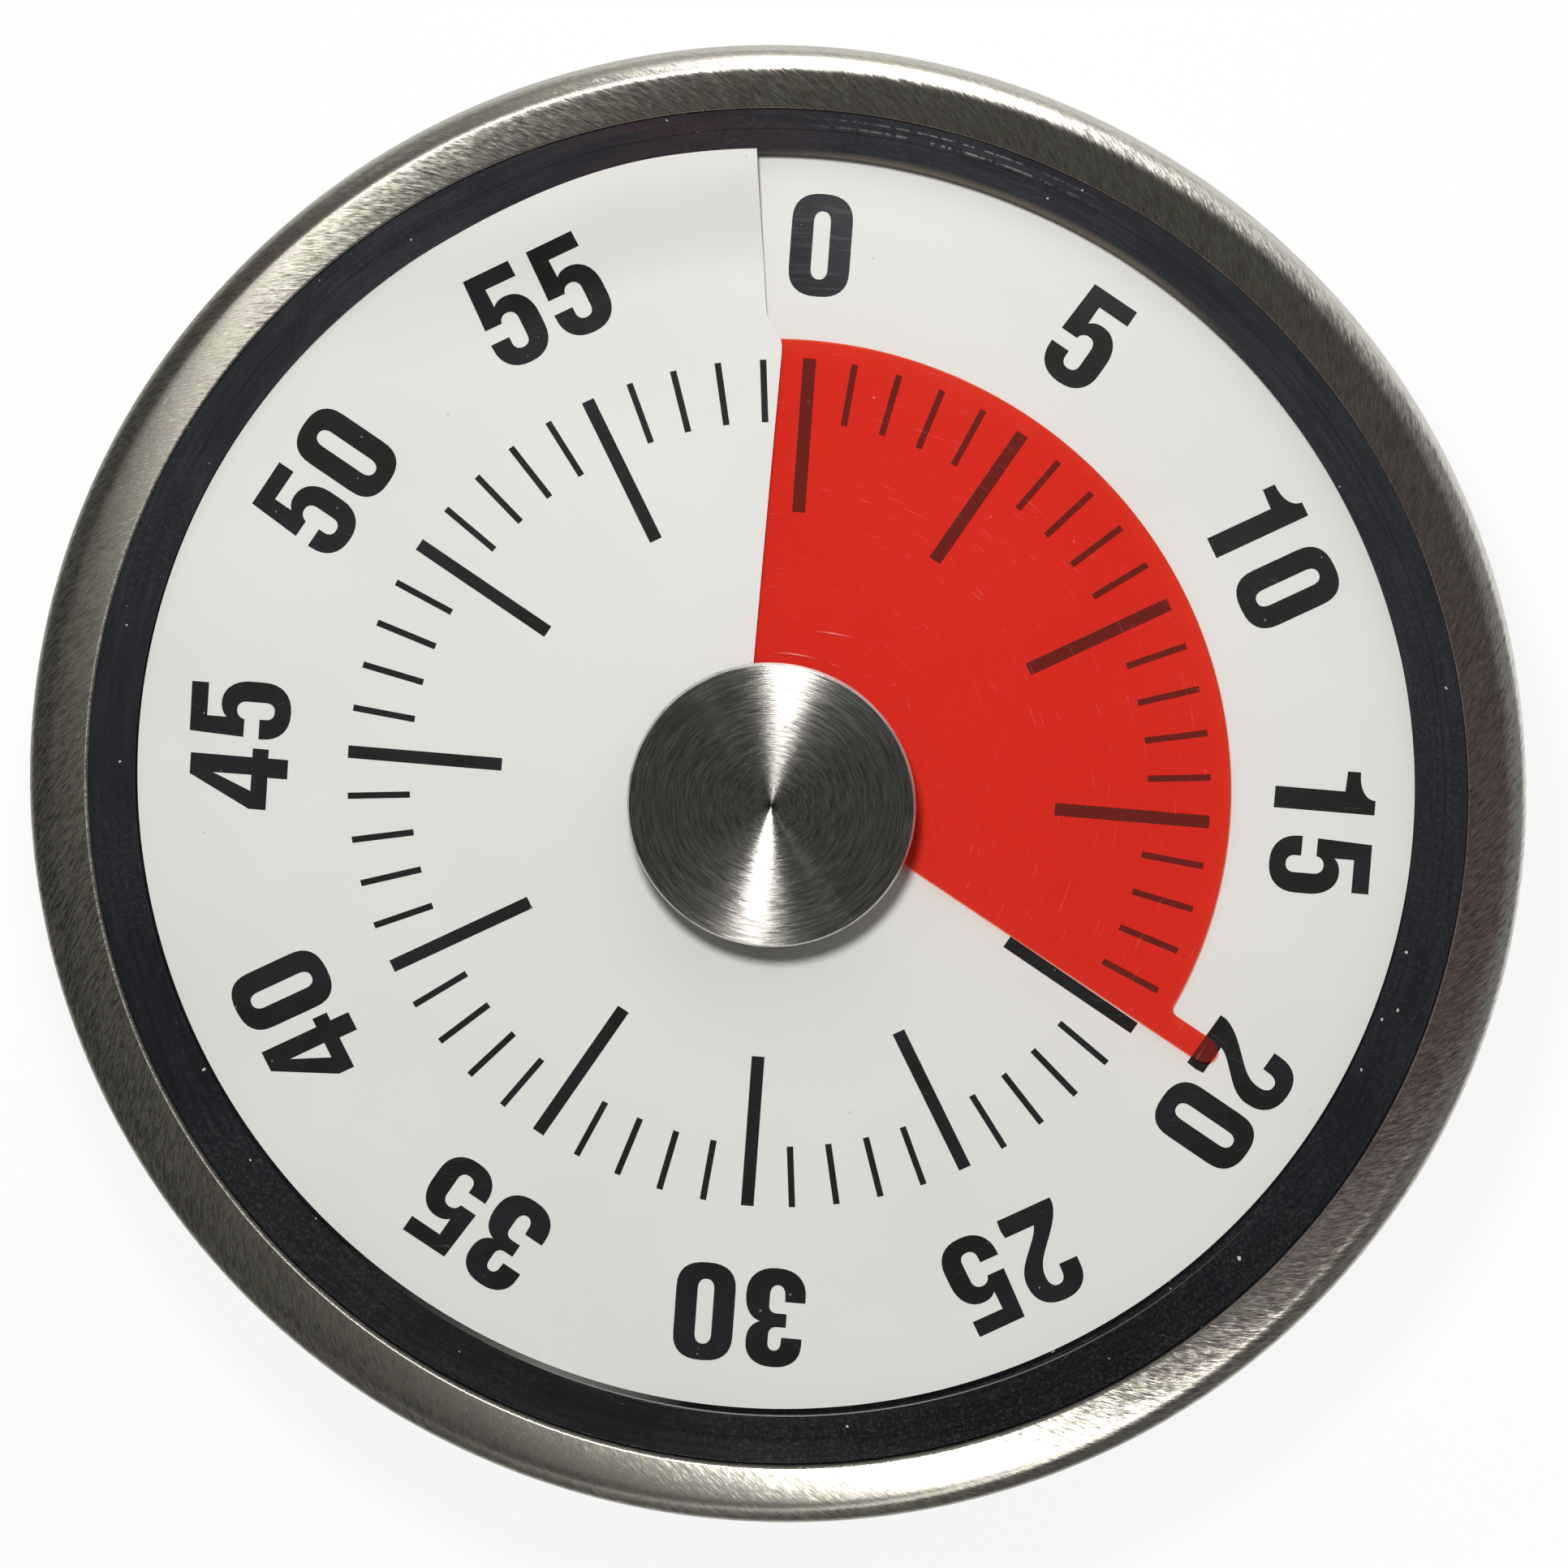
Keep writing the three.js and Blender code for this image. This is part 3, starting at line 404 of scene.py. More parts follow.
grain, given, result = group("turned_grain", "Value", Twist=0.0, Round=10.0, Outward=10.0, Detail=2.0)
x, y, z = (part(given["Position"], axis) for axis in "XYZ")
along = minus(length(joined(x, y)), z)
swept = minus(maths("ARCTAN2", y, x), times(along, given["Twist"]))
cosine = times(maths("COSINE", swept), given["Round"])
sine = times(maths("SINE", swept), given["Round"])
lines = joined(cosine, sine, times(along, given["Outward"]))
grain.links.new(noise(lines, 1.0, given["Detail"], 0.6), result.inputs["Value"])

# %% The tilt that a tool line gives the surface
tilted, given, result = group("grain_tilt", "Normal", VECTOR, Lean=0.0, Amount=0.0)
x, y = part(given["Position"], "X"), part(given["Position"], "Y")
circle = vectors("NORMALIZE", node(
    tilted, "ShaderNodeVectorTransform", {0: joined(times(y, -1.0), x)},
    vector_type="VECTOR", convert_from="OBJECT", convert_to="WORLD",
).outputs[0])
facing = node(tilted, "ShaderNodeNewGeometry").outputs["Normal"]
part_out = scaled(vectors("CROSS_PRODUCT", circle, facing), maths("COSINE", given["Lean"]))
part_round = scaled(circle, maths("SINE", given["Lean"]))
nudge = scaled(vectors("ADD", part_out, part_round), given["Amount"])
tilted.links.new(vectors("NORMALIZE", vectors("ADD", facing, nudge)), result.inputs["Normal"])

# %% Dust and hair scratches
specks, given, result = group("dust_specks", "Mask", Scale=1.0, Size=0.1, Share=0.3)
cells = node(specks, "ShaderNodeTexVoronoi", {"Vector": given["Position"], "Scale": given["Scale"]})
lot = node(specks, "ShaderNodeSeparateColor", {0: cells.outputs["Color"]}).outputs
grown = times(given["Size"], plus(lot["Green"], 0.3))
inside = maths("LESS_THAN", cells.outputs["Distance"], grown)
chosen = maths("LESS_THAN", lot["Red"], given["Share"])
specks.links.new(times(inside, chosen), result.inputs["Mask"])

hairs, given, result = group("hair_scratches", "Mask", Turn=0.0, Scale=1.0, Amount=0.5)
turning = node(hairs, "ShaderNodeVectorRotate", {"Vector": given["Position"], "Angle": given["Turn"]})
bent = noise(given["Position"], 0.12, 1.0, colour=True)
moved = vectors("ADD", turning.outputs[0], scaled(bent, 6.0))
strokes = noise(vectors("MULTIPLY", moved, (0.12, 4.0, 0.5)), given["Scale"], 3.0, 0.7)
peak = minus(1.0, given["Amount"])
hairs.links.new(within(strokes, peak, plus(peak, 0.04)), result.inputs["Mask"])


def effect(shared, spot, **values):
    """A shared effect placed in a material at a point, with its values."""
    made = node(spot.id_data, "ShaderNodeGroup", node_tree=shared)
    for key, value in {"Position": spot, **values}.items():
        if isinstance(value, bpy.types.NodeSocket):
            spot.id_data.links.new(value, made.inputs[key])
        else:
            made.inputs[key].default_value = value
    return made.outputs[0]


def millimetres(tree):
    """The point on the piece, in millimetres."""
    return scaled(node(tree, "ShaderNodeTexCoord").outputs["Object"], 1000.0)


def polar(spot):
    """Distance from the axis in millimetres, and the bearing clockwise from the 0 mark in radians."""
    x, y = part(spot, "X"), part(spot, "Y")
    return length(joined(x, y)), maths("ARCTAN2", x, y)


def over(tone, mask, strength, colour):
    """A tone with a colour laid over it where a mask says, at a strength."""
    return blend(times(mask, strength), tone, colour)


def bump(height, strength, distance, normal=None):
    """The normal of a surface with a relief, whose depth is in metres."""
    inputs = {"Strength": strength, "Distance": distance, "Height": height}
    if normal is not None:
        inputs["Normal"] = normal
    return node(height.id_data, "ShaderNodeBump", inputs).outputs[0]


def surface(output, tone, rough, normal, **more):
    """The material's own shader, linked to its output."""
    tree = output.id_data
    made = node(tree, "ShaderNodeBsdfPrincipled", {"Base Color": tone, "Roughness": rough, "Normal": normal, **more})
    tree.links.new(made.outputs[0], output.inputs["Surface"])


# %% [markdown]
# ## The brushed case
# The case is pressed from stainless sheet. Its front face was brushed with a belt while it turned, so the lines
# cross it as a spiral, about halfway between a spoke and a circle. Metal that is brushed mirrors a lamp as a long
# streak across the lines. Cycles does that with anisotropy and a tangent that runs round the axis, turned until
# it crosses the lines. The face isn't flat: it falls a little towards the dial and rolls over at its outer edge,
# and that is what parts the two bright arcs. On the roll the lines run round, as the sheet was spun there. The
# lines themselves tilt the surface and vary its tone and roughness. On the side of the 45 mark their dark tone is
# darker, so they stand out more there. On the side of the 15 mark the face is tinted a little pinkish brown, and
# there its rolled edge is painted near-white, a painted highlight.

# %% Brushed steel
brushed_case_steel, tree, output = material("brushed_case_steel")
spot = millimetres(tree)
BRUSH_TURN = 50.6
BRUSH_LEAN = math.radians(BRUSH_TURN)
# The lean is measured here, and a millimetre outwards on the sloping face counts as this much in the grain.
FACE_MIDDLE = 37.5
FACE_SLANT = 0.8
BRUSH_TWIST = math.tan(BRUSH_LEAN) / FACE_MIDDLE / FACE_SLANT
fine = effect(grain, spot, Twist=BRUSH_TWIST, Round=500.0, Outward=4.2)
broad = effect(grain, spot, Twist=BRUSH_TWIST, Round=190.0, Outward=2.3)
short = effect(grain, spot, Twist=BRUSH_TWIST, Round=560.0, Outward=7.0, Detail=1.0)
lines = plus(times(fine, 0.6), times(broad, 0.4))
bits = within(short, 0.62, 0.72)
cast = noise(spot, 0.9, 4.0)
dull = blend(within(cast, 0.42, 0.58), (0.252, 0.241, 0.203), (0.246, 0.226, 0.210))
clean = blend(within(cast, 0.42, 0.58), (0.448, 0.446, 0.368), (0.435, 0.417, 0.382))
tone = blend(within(lines, 0.37, 0.63), dull, clean)
out, heading = polar(spot)
# On the side of the 45 mark the lines' dark tone is darker, so they stand out more there.
harsh = blend(within(lines, 0.43, 0.58), (0.105, 0.098, 0.080), (0.455, 0.435, 0.375))
tone = blend(times(near(heading, -1.80, 1.35), 0.9), tone, harsh)
# On the side of the 15 mark the face is tinted a little pinkish brown.
brown = blend(within(lines, 0.40, 0.60), (0.26, 0.178, 0.188), (0.60, 0.445, 0.455))
tone = blend(times(near(heading, 1.60, 0.95), 0.9), tone, brown)
# Painted highlight: the rolled edge on the side of the 15 mark is painted near-white along the lines.
edge_highlight_paint = times(near(out, 38.80, 0.65), near(heading, 1.40, 1.25))
edge_highlight_paint = times(edge_highlight_paint, spread(lines, 0.5, 2.2, 0.40, 0.60))
tone = blend(edge_highlight_paint, tone, (1.0, 0.99, 0.92))
tone = over(tone, bits, 0.45, (0.80, 0.79, 0.72))
lean = effect(tilted, spot, Lean=BRUSH_LEAN, Amount=times(minus(lines, 0.5), 0.26))
ROLL_START = 38.15
ROLL_END = 38.5
topside = within(maths("COSINE", heading), -1.0, 1.0)
rolled = within(out, ROLL_START, ROLL_END)
across = node(tree, "ShaderNodeVectorRotate", {
    "Vector": node(tree, "ShaderNodeTangent", direction_type="RADIAL", axis="Z").outputs[0],
    "Axis": node(tree, "ShaderNodeNewGeometry").outputs["Normal"],
    "Center": (0.0, 0.0, 0.0),
    "Angle": times(rolled, math.radians(90 - BRUSH_TURN)),
}, rotation_type="AXIS_ANGLE").outputs[0]
rough = plus(spread(lines, 0.275, 0.34, 0.3, 0.7), times(rolled, spread(topside, -0.07, 0.03)))
surface(output, tone, rough, bump(fine, 0.5, 0.00001, lean), **{
    "Metallic": 1.0, "Anisotropic": 0.89, "Anisotropic Rotation": BRUSH_TURN / 360, "Tangent": across,
})

# %% Case shell
CASE_RADIUS = reach("case_shell")
CASE_TOP = head("case_shell")
CASE_FOOT = foot("case_shell")
BACK_RADIUS = 33.07
WALL = 0.6
SHOULDER = 25.2
RIM_FOOT = 23.3
INNER_RADIUS = 36.2
RING_TOP_RADIUS = INNER_RADIUS - 0.06
CROWN = (
    (36.2, -0.262), (36.6, -0.246), (37.3, -0.217), (37.9, -0.183), (38.15, -0.12), (38.4, -0.03), (38.7, 0.17),
    (38.93, 0.45),
)


def crown_slope(radius):
    """How steeply the face falls outwards at a radius."""
    for (low, start), (high, end) in zip(CROWN, CROWN[1:]):
        if radius <= high:
            return start + (end - start) * (radius - low) / (high - low)
    return CROWN[-1][1]


def bezel_face():
    """The face's profile from its outer roll to its inner lip."""
    radii = [CROWN[-1][0] - i * 0.1 for i in range(27)] + [INNER_RADIUS + 0.08]
    heights = [0.0]
    for outer, inner in zip(radii, radii[1:]):
        heights.append(heights[-1] + crown_slope((outer + inner) / 2) * (outer - inner))
    highest = max(heights)
    return [(r, CASE_TOP - highest + z) for r, z in zip(radii, heights)]


face = bezel_face()
tilt = math.atan(CROWN[-1][1])
edge_round = 0.45
EDGE_STEPS = 8
edge_centre = (face[0][0] - edge_round * math.sin(tilt), face[0][1] - edge_round * math.cos(tilt))
edge = []
for i in range(EDGE_STEPS + 1):
    angle = (math.pi / 2 - tilt) * i / EDGE_STEPS
    edge.append((edge_centre[0] + edge_round * math.cos(angle), edge_centre[1] + edge_round * math.sin(angle)))
lip_bottom = CASE_TOP - 1.0
inner_lip = [
    (INNER_RADIUS + 0.035, face[-1][1] - 0.03),
    (INNER_RADIUS, face[-1][1] - 0.11),
    (INNER_RADIUS, lip_bottom),
]
case_profile = [
    (BACK_RADIUS - WALL, CASE_FOOT + 0.05),
    (BACK_RADIUS - WALL + 0.15, CASE_FOOT),
    (BACK_RADIUS - 0.15, CASE_FOOT),
    (BACK_RADIUS, CASE_FOOT + 0.2),
    ((BACK_RADIUS + CASE_RADIUS) / 2, (CASE_FOOT + RIM_FOOT) / 2),
    (CASE_RADIUS - 0.04, RIM_FOOT - 0.15),
    (CASE_RADIUS, RIM_FOOT + 0.15),
    (CASE_RADIUS, SHOULDER),
    *edge,
    *face[1:],
    *inner_lip,
    (CASE_RADIUS - WALL - 0.4, lip_bottom),
    (CASE_RADIUS - WALL, SHOULDER - 0.4),
    (CASE_RADIUS - WALL, RIM_FOOT),
]
case_shell = turned("case_shell_fine", case_profile, steps=360, sharp=50)
finish_piece(case_shell, "case_body", "brushed_case_steel", brushed_case_steel, "case_shell")

# %% [markdown]
# ## The black ring
# Between the case and the dial sits a polished black moulding: two narrow cones with a small step between them,
# and a thin rounded lip that hangs over the dial's edge. Polished black plastic shows every speck, so its finish
# has a grey haze of powder, most of it on the side of the 15 mark, ragged dust, a few larger chips and fine
# scratches along the circle. Near the 0 mark two pale lines run round it, partly wear and partly painted
# highlights, its lip is painted brown-grey as a painted shadow, and its black has a painted purple reflection.
# Near the 30 mark a thin painted highlight runs along the lip. The black is painted lighter towards the 0 mark,
# a painted sheen on the lamp's side. The lip's upright wall stands only about a millimetre above the dial and is
# rounded off, so it is shaded as if it faced upwards and mirrors what is overhead, not the white sheet.

# %% Black gloss
black_ring_gloss, tree, output = material("black_ring_gloss")
spot = millimetres(tree)
out, heading = polar(spot)
rubbed = effect(grain, spot, Round=9.0, Outward=9.0, Detail=4.0)
scuffs = within(effect(grain, spot, Round=40.0, Outward=30.0), 0.68, 0.78)
haze = spread(noise(spot, 0.07, 2.0), 0.15, 1.0, 0.42, 0.58)
dusty_side = most(haze, near(heading, 1.40, 1.20))
powder = times(within(noise(spot, 5.0, 4.0, 0.8), 0.50, 0.70), dusty_side)
ragged = vectors("ADD", spot, scaled(noise(spot, 3.0, 2.0, colour=True), 0.35))
dust = effect(specks, ragged, Scale=1.1, Size=0.085, Share=0.20)
chips = effect(specks, ragged, Scale=0.42, Size=0.050, Share=0.22)
breaks = within(effect(grain, spot, Round=90.0, Outward=3.0), 0.46, 0.56)
# Partly wear and partly painted highlight: two pale lines round the ring near the 0 mark.
wear_and_highlight_lines = most(near(out, 35.24, 0.09), near(out, 35.66, 0.06))
wear_and_highlight_lines = times(times(wear_and_highlight_lines, near(heading, 0.20, 0.24)), breaks)
# Painted highlight: a thin pale line along the lip near the 30 mark.
under = near(maths("ABSOLUTE", heading), 3.05, 0.85)
lip_highlight_paint = times(near(out, 33.93, 0.045), under)
topside = within(maths("COSINE", heading), -1.0, 1.0)
# Painted reflection: a purple cast in the black near the 0 mark.
purple_reflection_paint = times(near(heading, -0.20, 0.32), spread(rubbed, 0.3, 1.0, 0.4, 0.6))
# Painted sheen: the black is painted lighter towards the 0 mark, on the lamp's side.
dark = blend(topside, (0.0030, 0.0033, 0.0042), (0.0260, 0.0290, 0.0350))
light = blend(topside, (0.0050, 0.0055, 0.0070), (0.0400, 0.0440, 0.0520))
dark = blend(purple_reflection_paint, dark, (0.036, 0.021, 0.027))
light = blend(purple_reflection_paint, light, (0.054, 0.034, 0.042))
# Painted shadow: the lip near the 0 mark is painted the brown-grey of the dial's shaded edge.
shadow_band_paint = times(near(out, 33.62, 0.30), within(near(heading, 0.30, 0.45), 0.0, 0.5))
tone = blend(within(rubbed, 0.35, 0.7), dark, light)
tone = over(tone, shadow_band_paint, 0.8, (0.150, 0.128, 0.092))
tone = over(tone, powder, 0.26, (0.120, 0.120, 0.125))
tone = over(tone, scuffs, 0.10, (0.32, 0.33, 0.36))
tone = over(tone, most(wear_and_highlight_lines, lip_highlight_paint), 0.75, (0.42, 0.42, 0.40))
tone = over(tone, most(dust, chips), 0.8, (0.58, 0.57, 0.53))
rough = plus(plus(spread(rubbed, 0.15, 0.26, 0.3, 0.7), times(haze, 0.05)), times(dust, 0.5))
relief = bump(plus(rubbed, dust), 0.3, 0.00002)
upright = maths("LESS_THAN", part(node(tree, "ShaderNodeNewGeometry").outputs["Normal"], "Z"), 0.3)
relief = node(tree, "ShaderNodeMix", {0: upright, 4: relief, 5: (0.0, 0.0, 1.0)}, data_type="VECTOR").outputs[1]
surface(output, tone, rough, relief, **{"Specular IOR Level": 0.10})

# %% Rim ring
RING_RADIUS = reach("rim_ring")
RING_TOP = head("rim_ring")
RING_FOOT = foot("rim_ring")
RING_INNER = 33.7
RING_LIP = 23.74
LEDGE = 22.1
LEDGE_RADIUS = 30.5
OPENING_SHIFT = (-0.23, -0.17)


def ease(value, start, end):
    """A soft step from 0 at the start to 1 at the end."""
    share = min(1.0, max(0.0, (value - start) / (end - start)))
    return share * share * (3 - 2 * share)


def shifted_radius(bearing, radius):
    """The radius at a bearing, once the round opening about it is moved off the axis."""
    turn = math.radians(bearing)
    shift = OPENING_SHIFT[0] * math.sin(turn) + OPENING_SHIFT[1] * math.cos(turn)
    return radius + shift * ease(radius, 32.2, 33.4) * ease(radius, 34.9, 34.0)


FLANGE = 37.1
ring_profile = eased([
    (RING_TOP_RADIUS, CASE_TOP - 1.3, 0),
    (RING_TOP_RADIUS, RING_TOP - 0.45, 0.02),
    (35.22, 24.72, 0.05),
    (35.02, 24.60, 0.03),
    (34.96, 24.40, 0.04),
    (RING_INNER + 0.12, RING_LIP + 0.02, 0.03),
    (RING_INNER, RING_LIP, 0.05),
    (RING_INNER, LEDGE, 0),
    (LEDGE_RADIUS, LEDGE, 0),
    (LEDGE_RADIUS, RING_FOOT, 0),
    (RING_RADIUS, RING_FOOT, 0),
    (RING_RADIUS, CASE_TOP - 2.1, 0),
    (FLANGE, CASE_TOP - 2.1, 0),
    (FLANGE, CASE_TOP - 1.3, 0),
])
rim_ring = turned("rim_ring_fine", ring_profile, steps=360, sharp=9)
for vertex in rim_ring.data.vertices:
    x, y, z = (value / MM for value in vertex.co)
    shifted = shifted_radius(math.degrees(math.atan2(x, y)), math.hypot(x, y))
    share = shifted / math.hypot(x, y)
    vertex.co = (x * share * MM, y * share * MM, z * MM)
finish_piece(rim_ring, "case_body", "black_gloss_ring", black_ring_gloss, "rim_ring")

# %% [markdown]
# ## The dial
# The dial is one thin white sheet, slit from its middle to its edge just before the 0 mark. Once round, it climbs
# by less than a millimetre, so the edge before the slit lies above the edge after it, and the red film can come
# up from under one edge and lie on the other. A sheet that climbs as it goes round is a helicoid, so its height
# follows from the bearing alone, and a grid of rings and spokes is bent to that rule. Near the slit the upper
# edge is lifted a little further and rests on the black ring's lip.

# %% White sheet
white_dial_sheet, tree, output = material("white_dial_sheet")
spot = millimetres(tree)
cloud = noise(spot, 0.08, 3.0)
fleck = effect(specks, spot, Scale=0.42, Size=0.032, Share=0.35)
stroke = effect(hairs, spot, Turn=0.5, Scale=1.3, Amount=0.27)
tone = blend(within(cloud, 0.3, 0.7), (0.673, 0.668, 0.652), (0.701, 0.697, 0.678))
tone = over(tone, fleck, 0.35, (0.30, 0.28, 0.25))
tone = over(tone, stroke, 0.10, (0.55, 0.53, 0.50))
weave = noise(spot, 3.0, 4.0)
relief = bump(plus(weave, stroke), 0.10, 0.00002)
surface(output, tone, spread(cloud, 0.42, 0.52, 0.3, 0.7), relief, **{"Specular IOR Level": 0.4})

# %% Shape of the sheet
DIAL_LOW = 22.30
CLIMB = 0.9
SEAM_START = -4.0
DIAL_HOLE = 5.0
DIAL_EDGE = 33.66
FLAP_START = 312
FLAP_END = 334
FLAP_LAG = 12
FLAP_LIFT = 0.90
FLAP_OVERHANG = 0.40
RIM_DIP = 0.12
SHEET = 0.02
SLIT = (
    (-1.75, 4.0), (-1.57, 15.9), (-1.43, 23.1), (-1.46, 23.6), (-1.66, 24.05), (-2.02, 24.5), (-2.25, 24.8),
    (-2.37, 25.1), (-2.44, 25.6), (-2.89, 29.1), (-3.43, 33.65), (-3.48, 34.2),
)


def bearing_of(x, y):
    """Degrees clockwise from the 0 mark."""
    return math.degrees(math.atan2(x, y))


def slit_bearing(radius):
    """Where the slit crosses a circle about the axis."""
    for (x1, y1), (x2, y2) in zip(SLIT, SLIT[1:]):
        inner, outer = math.hypot(x1, y1), math.hypot(x2, y2)
        if radius <= outer:
            share = max(0.0, (radius - inner) / (outer - inner))
            return bearing_of(x1 + (x2 - x1) * share, y1 + (y2 - y1) * share)
    return bearing_of(*SLIT[-1])


def lifted(bearing):
    """How far the sheet's rim has come up over the ring's lip at a bearing, from 0 to 1."""
    return ease(bearing, FLAP_START, FLAP_END)


def sheet_height(bearing, radius):
    """Height of the sheet where it has gone round to a bearing, from the slit to 360 degrees past it."""
    climbed = DIAL_LOW + CLIMB * (bearing - SEAM_START) / 360
    climbed -= RIM_DIP * ease(bearing, 60, 10) * ease(radius, 29, 33)
    return climbed + FLAP_LIFT * lifted(bearing) * ease(radius, 27.5, 33.5)


def dial_height(x, y):
    """Height of the sheet's upper face under a point of the print."""
    bearing = bearing_of(x, y)
    radius = math.hypot(x, y)
    if bearing < slit_bearing(radius):
        bearing += 360
    return sheet_height(bearing, radius)


# %% Dial sheet
OVERLAP = 0.5
dial_radii = [DIAL_HOLE + i * 1.5 for i in range(12)] + [22.5 + i * 0.25 for i in range(14)]
dial_radii += [26 + i * 0.36 for i in range(18)] + [32.45, 32.8, 33.1, 33.35, DIAL_EDGE]
ROUND = 400
points = []
for radius in dial_radii:
    start = slit_bearing(radius) - math.degrees(OVERLAP / radius)
    end = slit_bearing(radius) + 360
    for i in range(ROUND + 1):
        bearing = start + (end - start) * i / ROUND
        out = shifted_radius(bearing, radius)
        out += FLAP_OVERHANG * lifted(bearing - FLAP_LAG) * ease(radius, 32.5, DIAL_EDGE)
        angle = math.radians(bearing)
        points.append((out * math.sin(angle), out * math.cos(angle), sheet_height(bearing, radius)))
faces = []
for j in range(len(dial_radii) - 1):
    for i in range(ROUND):
        first = j * (ROUND + 1) + i
        faces.append((first, first + 1, first + ROUND + 2, first + ROUND + 1))
dial_sheet = piece("dial_sheet", *thicken(points, faces, SHEET), sharp=60)
finish_piece(dial_sheet, "case_body", "white_dial_sheet", white_dial_sheet, "dial_plate")

# %% [markdown]
# ## The print on the dial
# Sixty marks, every fifth one longer and bolder, and twelve numbers are printed in black. The marks repeat by a
# rule, so Geometry Nodes place them: sixty points on a circle that climb with the sheet, one small bar on each,
# and a switch that makes every fifth bar long. The numbers are drawn here from lines and arcs in the style of a
# narrow, heavy sans serif, because no font file may be read. Both are laid on the sheet as a film of ink a few
# thousandths of a millimetre thick. The sheet is curved, so the numbers are cut into small faces that bend with it.
# The 0's ink is painted bluish grey in streaks, partly grazes where the film and fingers rub and partly a painted
# sheen of the sky.

# %% Printing ink
dial_print_ink, tree, output = material("dial_print_ink")
spot = millimetres(tree)
patch = noise(spot, 0.22, 3.0)
rub = noise(spot, 2.6, 4.0, 0.7)
scratch = effect(hairs, spot, Turn=0.2, Scale=2.4, Amount=0.33)
pinholes = effect(specks, spot, Scale=1.9, Size=0.09, Share=0.16)
tone = blend(within(patch, 0.35, 0.65), (0.0095, 0.0092, 0.0085), (0.014, 0.015, 0.018))
tone = over(tone, scratch, 0.35, (0.16, 0.16, 0.15))
tone = over(tone, pinholes, 0.7, (0.33, 0.31, 0.28))
out, heading = polar(spot)
# Partly grazes and partly a painted sheen: streaks of bluish grey on the 0's ink.
zero_sheen_and_grazes = times(near(out, 29.0, 7.0), near(heading, 0.06, 0.16))
grazes_and_sheen = within(noise(vectors("MULTIPLY", spot, (0.35, 6.0, 1.0)), 1.0, 3.0), 0.52, 0.66)
grazes_and_sheen = blend(grazes_and_sheen, (0.030, 0.034, 0.041), (0.080, 0.086, 0.095))
tone = blend(times(zero_sheen_and_grazes, 0.9), tone, grazes_and_sheen)
surface(output, tone, spread(rub, 0.36, 0.5, 0.3, 0.7), bump(rub, 0.25, 0.00001), **{"Specular IOR Level": 0.15})

# %% Geometry Nodes helpers
def geometry_tree(name, inputs):
    """An empty geometry node tree with named inputs and one geometry output."""
    tree = bpy.data.node_groups.new(name, "GeometryNodeTree")
    for title, kind in inputs:
        tree.interface.new_socket(title, in_out="INPUT", socket_type=kind)
    tree.interface.new_socket("Geometry", in_out="OUTPUT", socket_type="NodeSocketGeometry")
    return tree, tree.nodes.new("NodeGroupInput").outputs, tree.nodes.new("NodeGroupOutput")


def settle(made):
    """Swaps an object's mesh for the plain one that its modifiers make of it."""
    graph = bpy.context.evaluated_depsgraph_get()
    mesh = bpy.data.meshes.new_from_object(made.evaluated_get(graph))
    made.modifiers.clear()
    made.data = mesh


def grown_mesh(name, tree, values):
    """The plain mesh that a geometry node tree makes from its input values."""
    holder = placed(name, bpy.data.meshes.new(name))
    modifier = holder.modifiers.new(name, "NODES")
    modifier.node_group = tree
    for item in tree.interface.items_tree:
        if item.item_type == "SOCKET" and item.in_out == "INPUT":
            modifier[item.identifier] = values[item.name]
    settle(holder)
    return holder


def stand_round(tree, result, count, spots, turn, thing, paint, **sizes):
    """Stands a painted copy of a thing on each of a number of spots, turned about the vertical."""
    points = node(tree, "GeometryNodePoints", {"Count": count, "Position": spots}).outputs[0]
    turns = node(tree, "FunctionNodeEulerToRotation", {0: joined(0.0, 0.0, turn)}).outputs[0]
    copies = node(tree, "GeometryNodeInstanceOnPoints", {
        "Points": points, "Instance": thing, "Rotation": turns, **sizes,
    }).outputs[0]
    real = node(tree, "GeometryNodeRealizeInstances", {0: copies}).outputs[0]
    painted = node(tree, "GeometryNodeSetMaterial", {"Geometry": real, "Material": paint})
    tree.links.new(painted.outputs[0], result.inputs[0])


# %% Minute marks
MINUTES = 60
marks_tree, given, result = geometry_tree("minute_marks", [
    ("Count", "NodeSocketInt"), ("Outer", FLOAT), ("Short", FLOAT), ("Long", FLOAT), ("Thin", FLOAT),
    ("Bold", FLOAT), ("Low", FLOAT), ("Climb", FLOAT), ("Depth", FLOAT), ("Ink", "NodeSocketMaterial"),
])
which = node(marks_tree, "GeometryNodeInputIndex").outputs[0]
share = maths("DIVIDE", which, given["Count"])
angle = times(share, 2 * math.pi)
fifth = maths("LESS_THAN", maths("MODULO", which, 5.0), 0.5)


def either(plain, special):
    """The first value, or the second at every fifth mark."""
    choices = {"Switch": fifth, "False": plain, "True": special}
    return node(marks_tree, "GeometryNodeSwitch", choices, input_type="FLOAT").outputs[0]


inner = either(given["Short"], given["Long"])
middle = times(plus(given["Outer"], inner), 0.5)
rise = plus(given["Low"], times(share, given["Climb"]))
spots = joined(times(maths("SINE", angle), middle), times(maths("COSINE", angle), middle), rise)
bar = node(marks_tree, "GeometryNodeMeshCube", {"Size": (1, 1, 1)}).outputs["Mesh"]
bar_size = joined(either(given["Thin"], given["Bold"]), minus(given["Outer"], inner), given["Depth"])
stand_round(marks_tree, result, given["Count"], spots, times(angle, -1.0), bar, given["Ink"], Scale=bar_size)

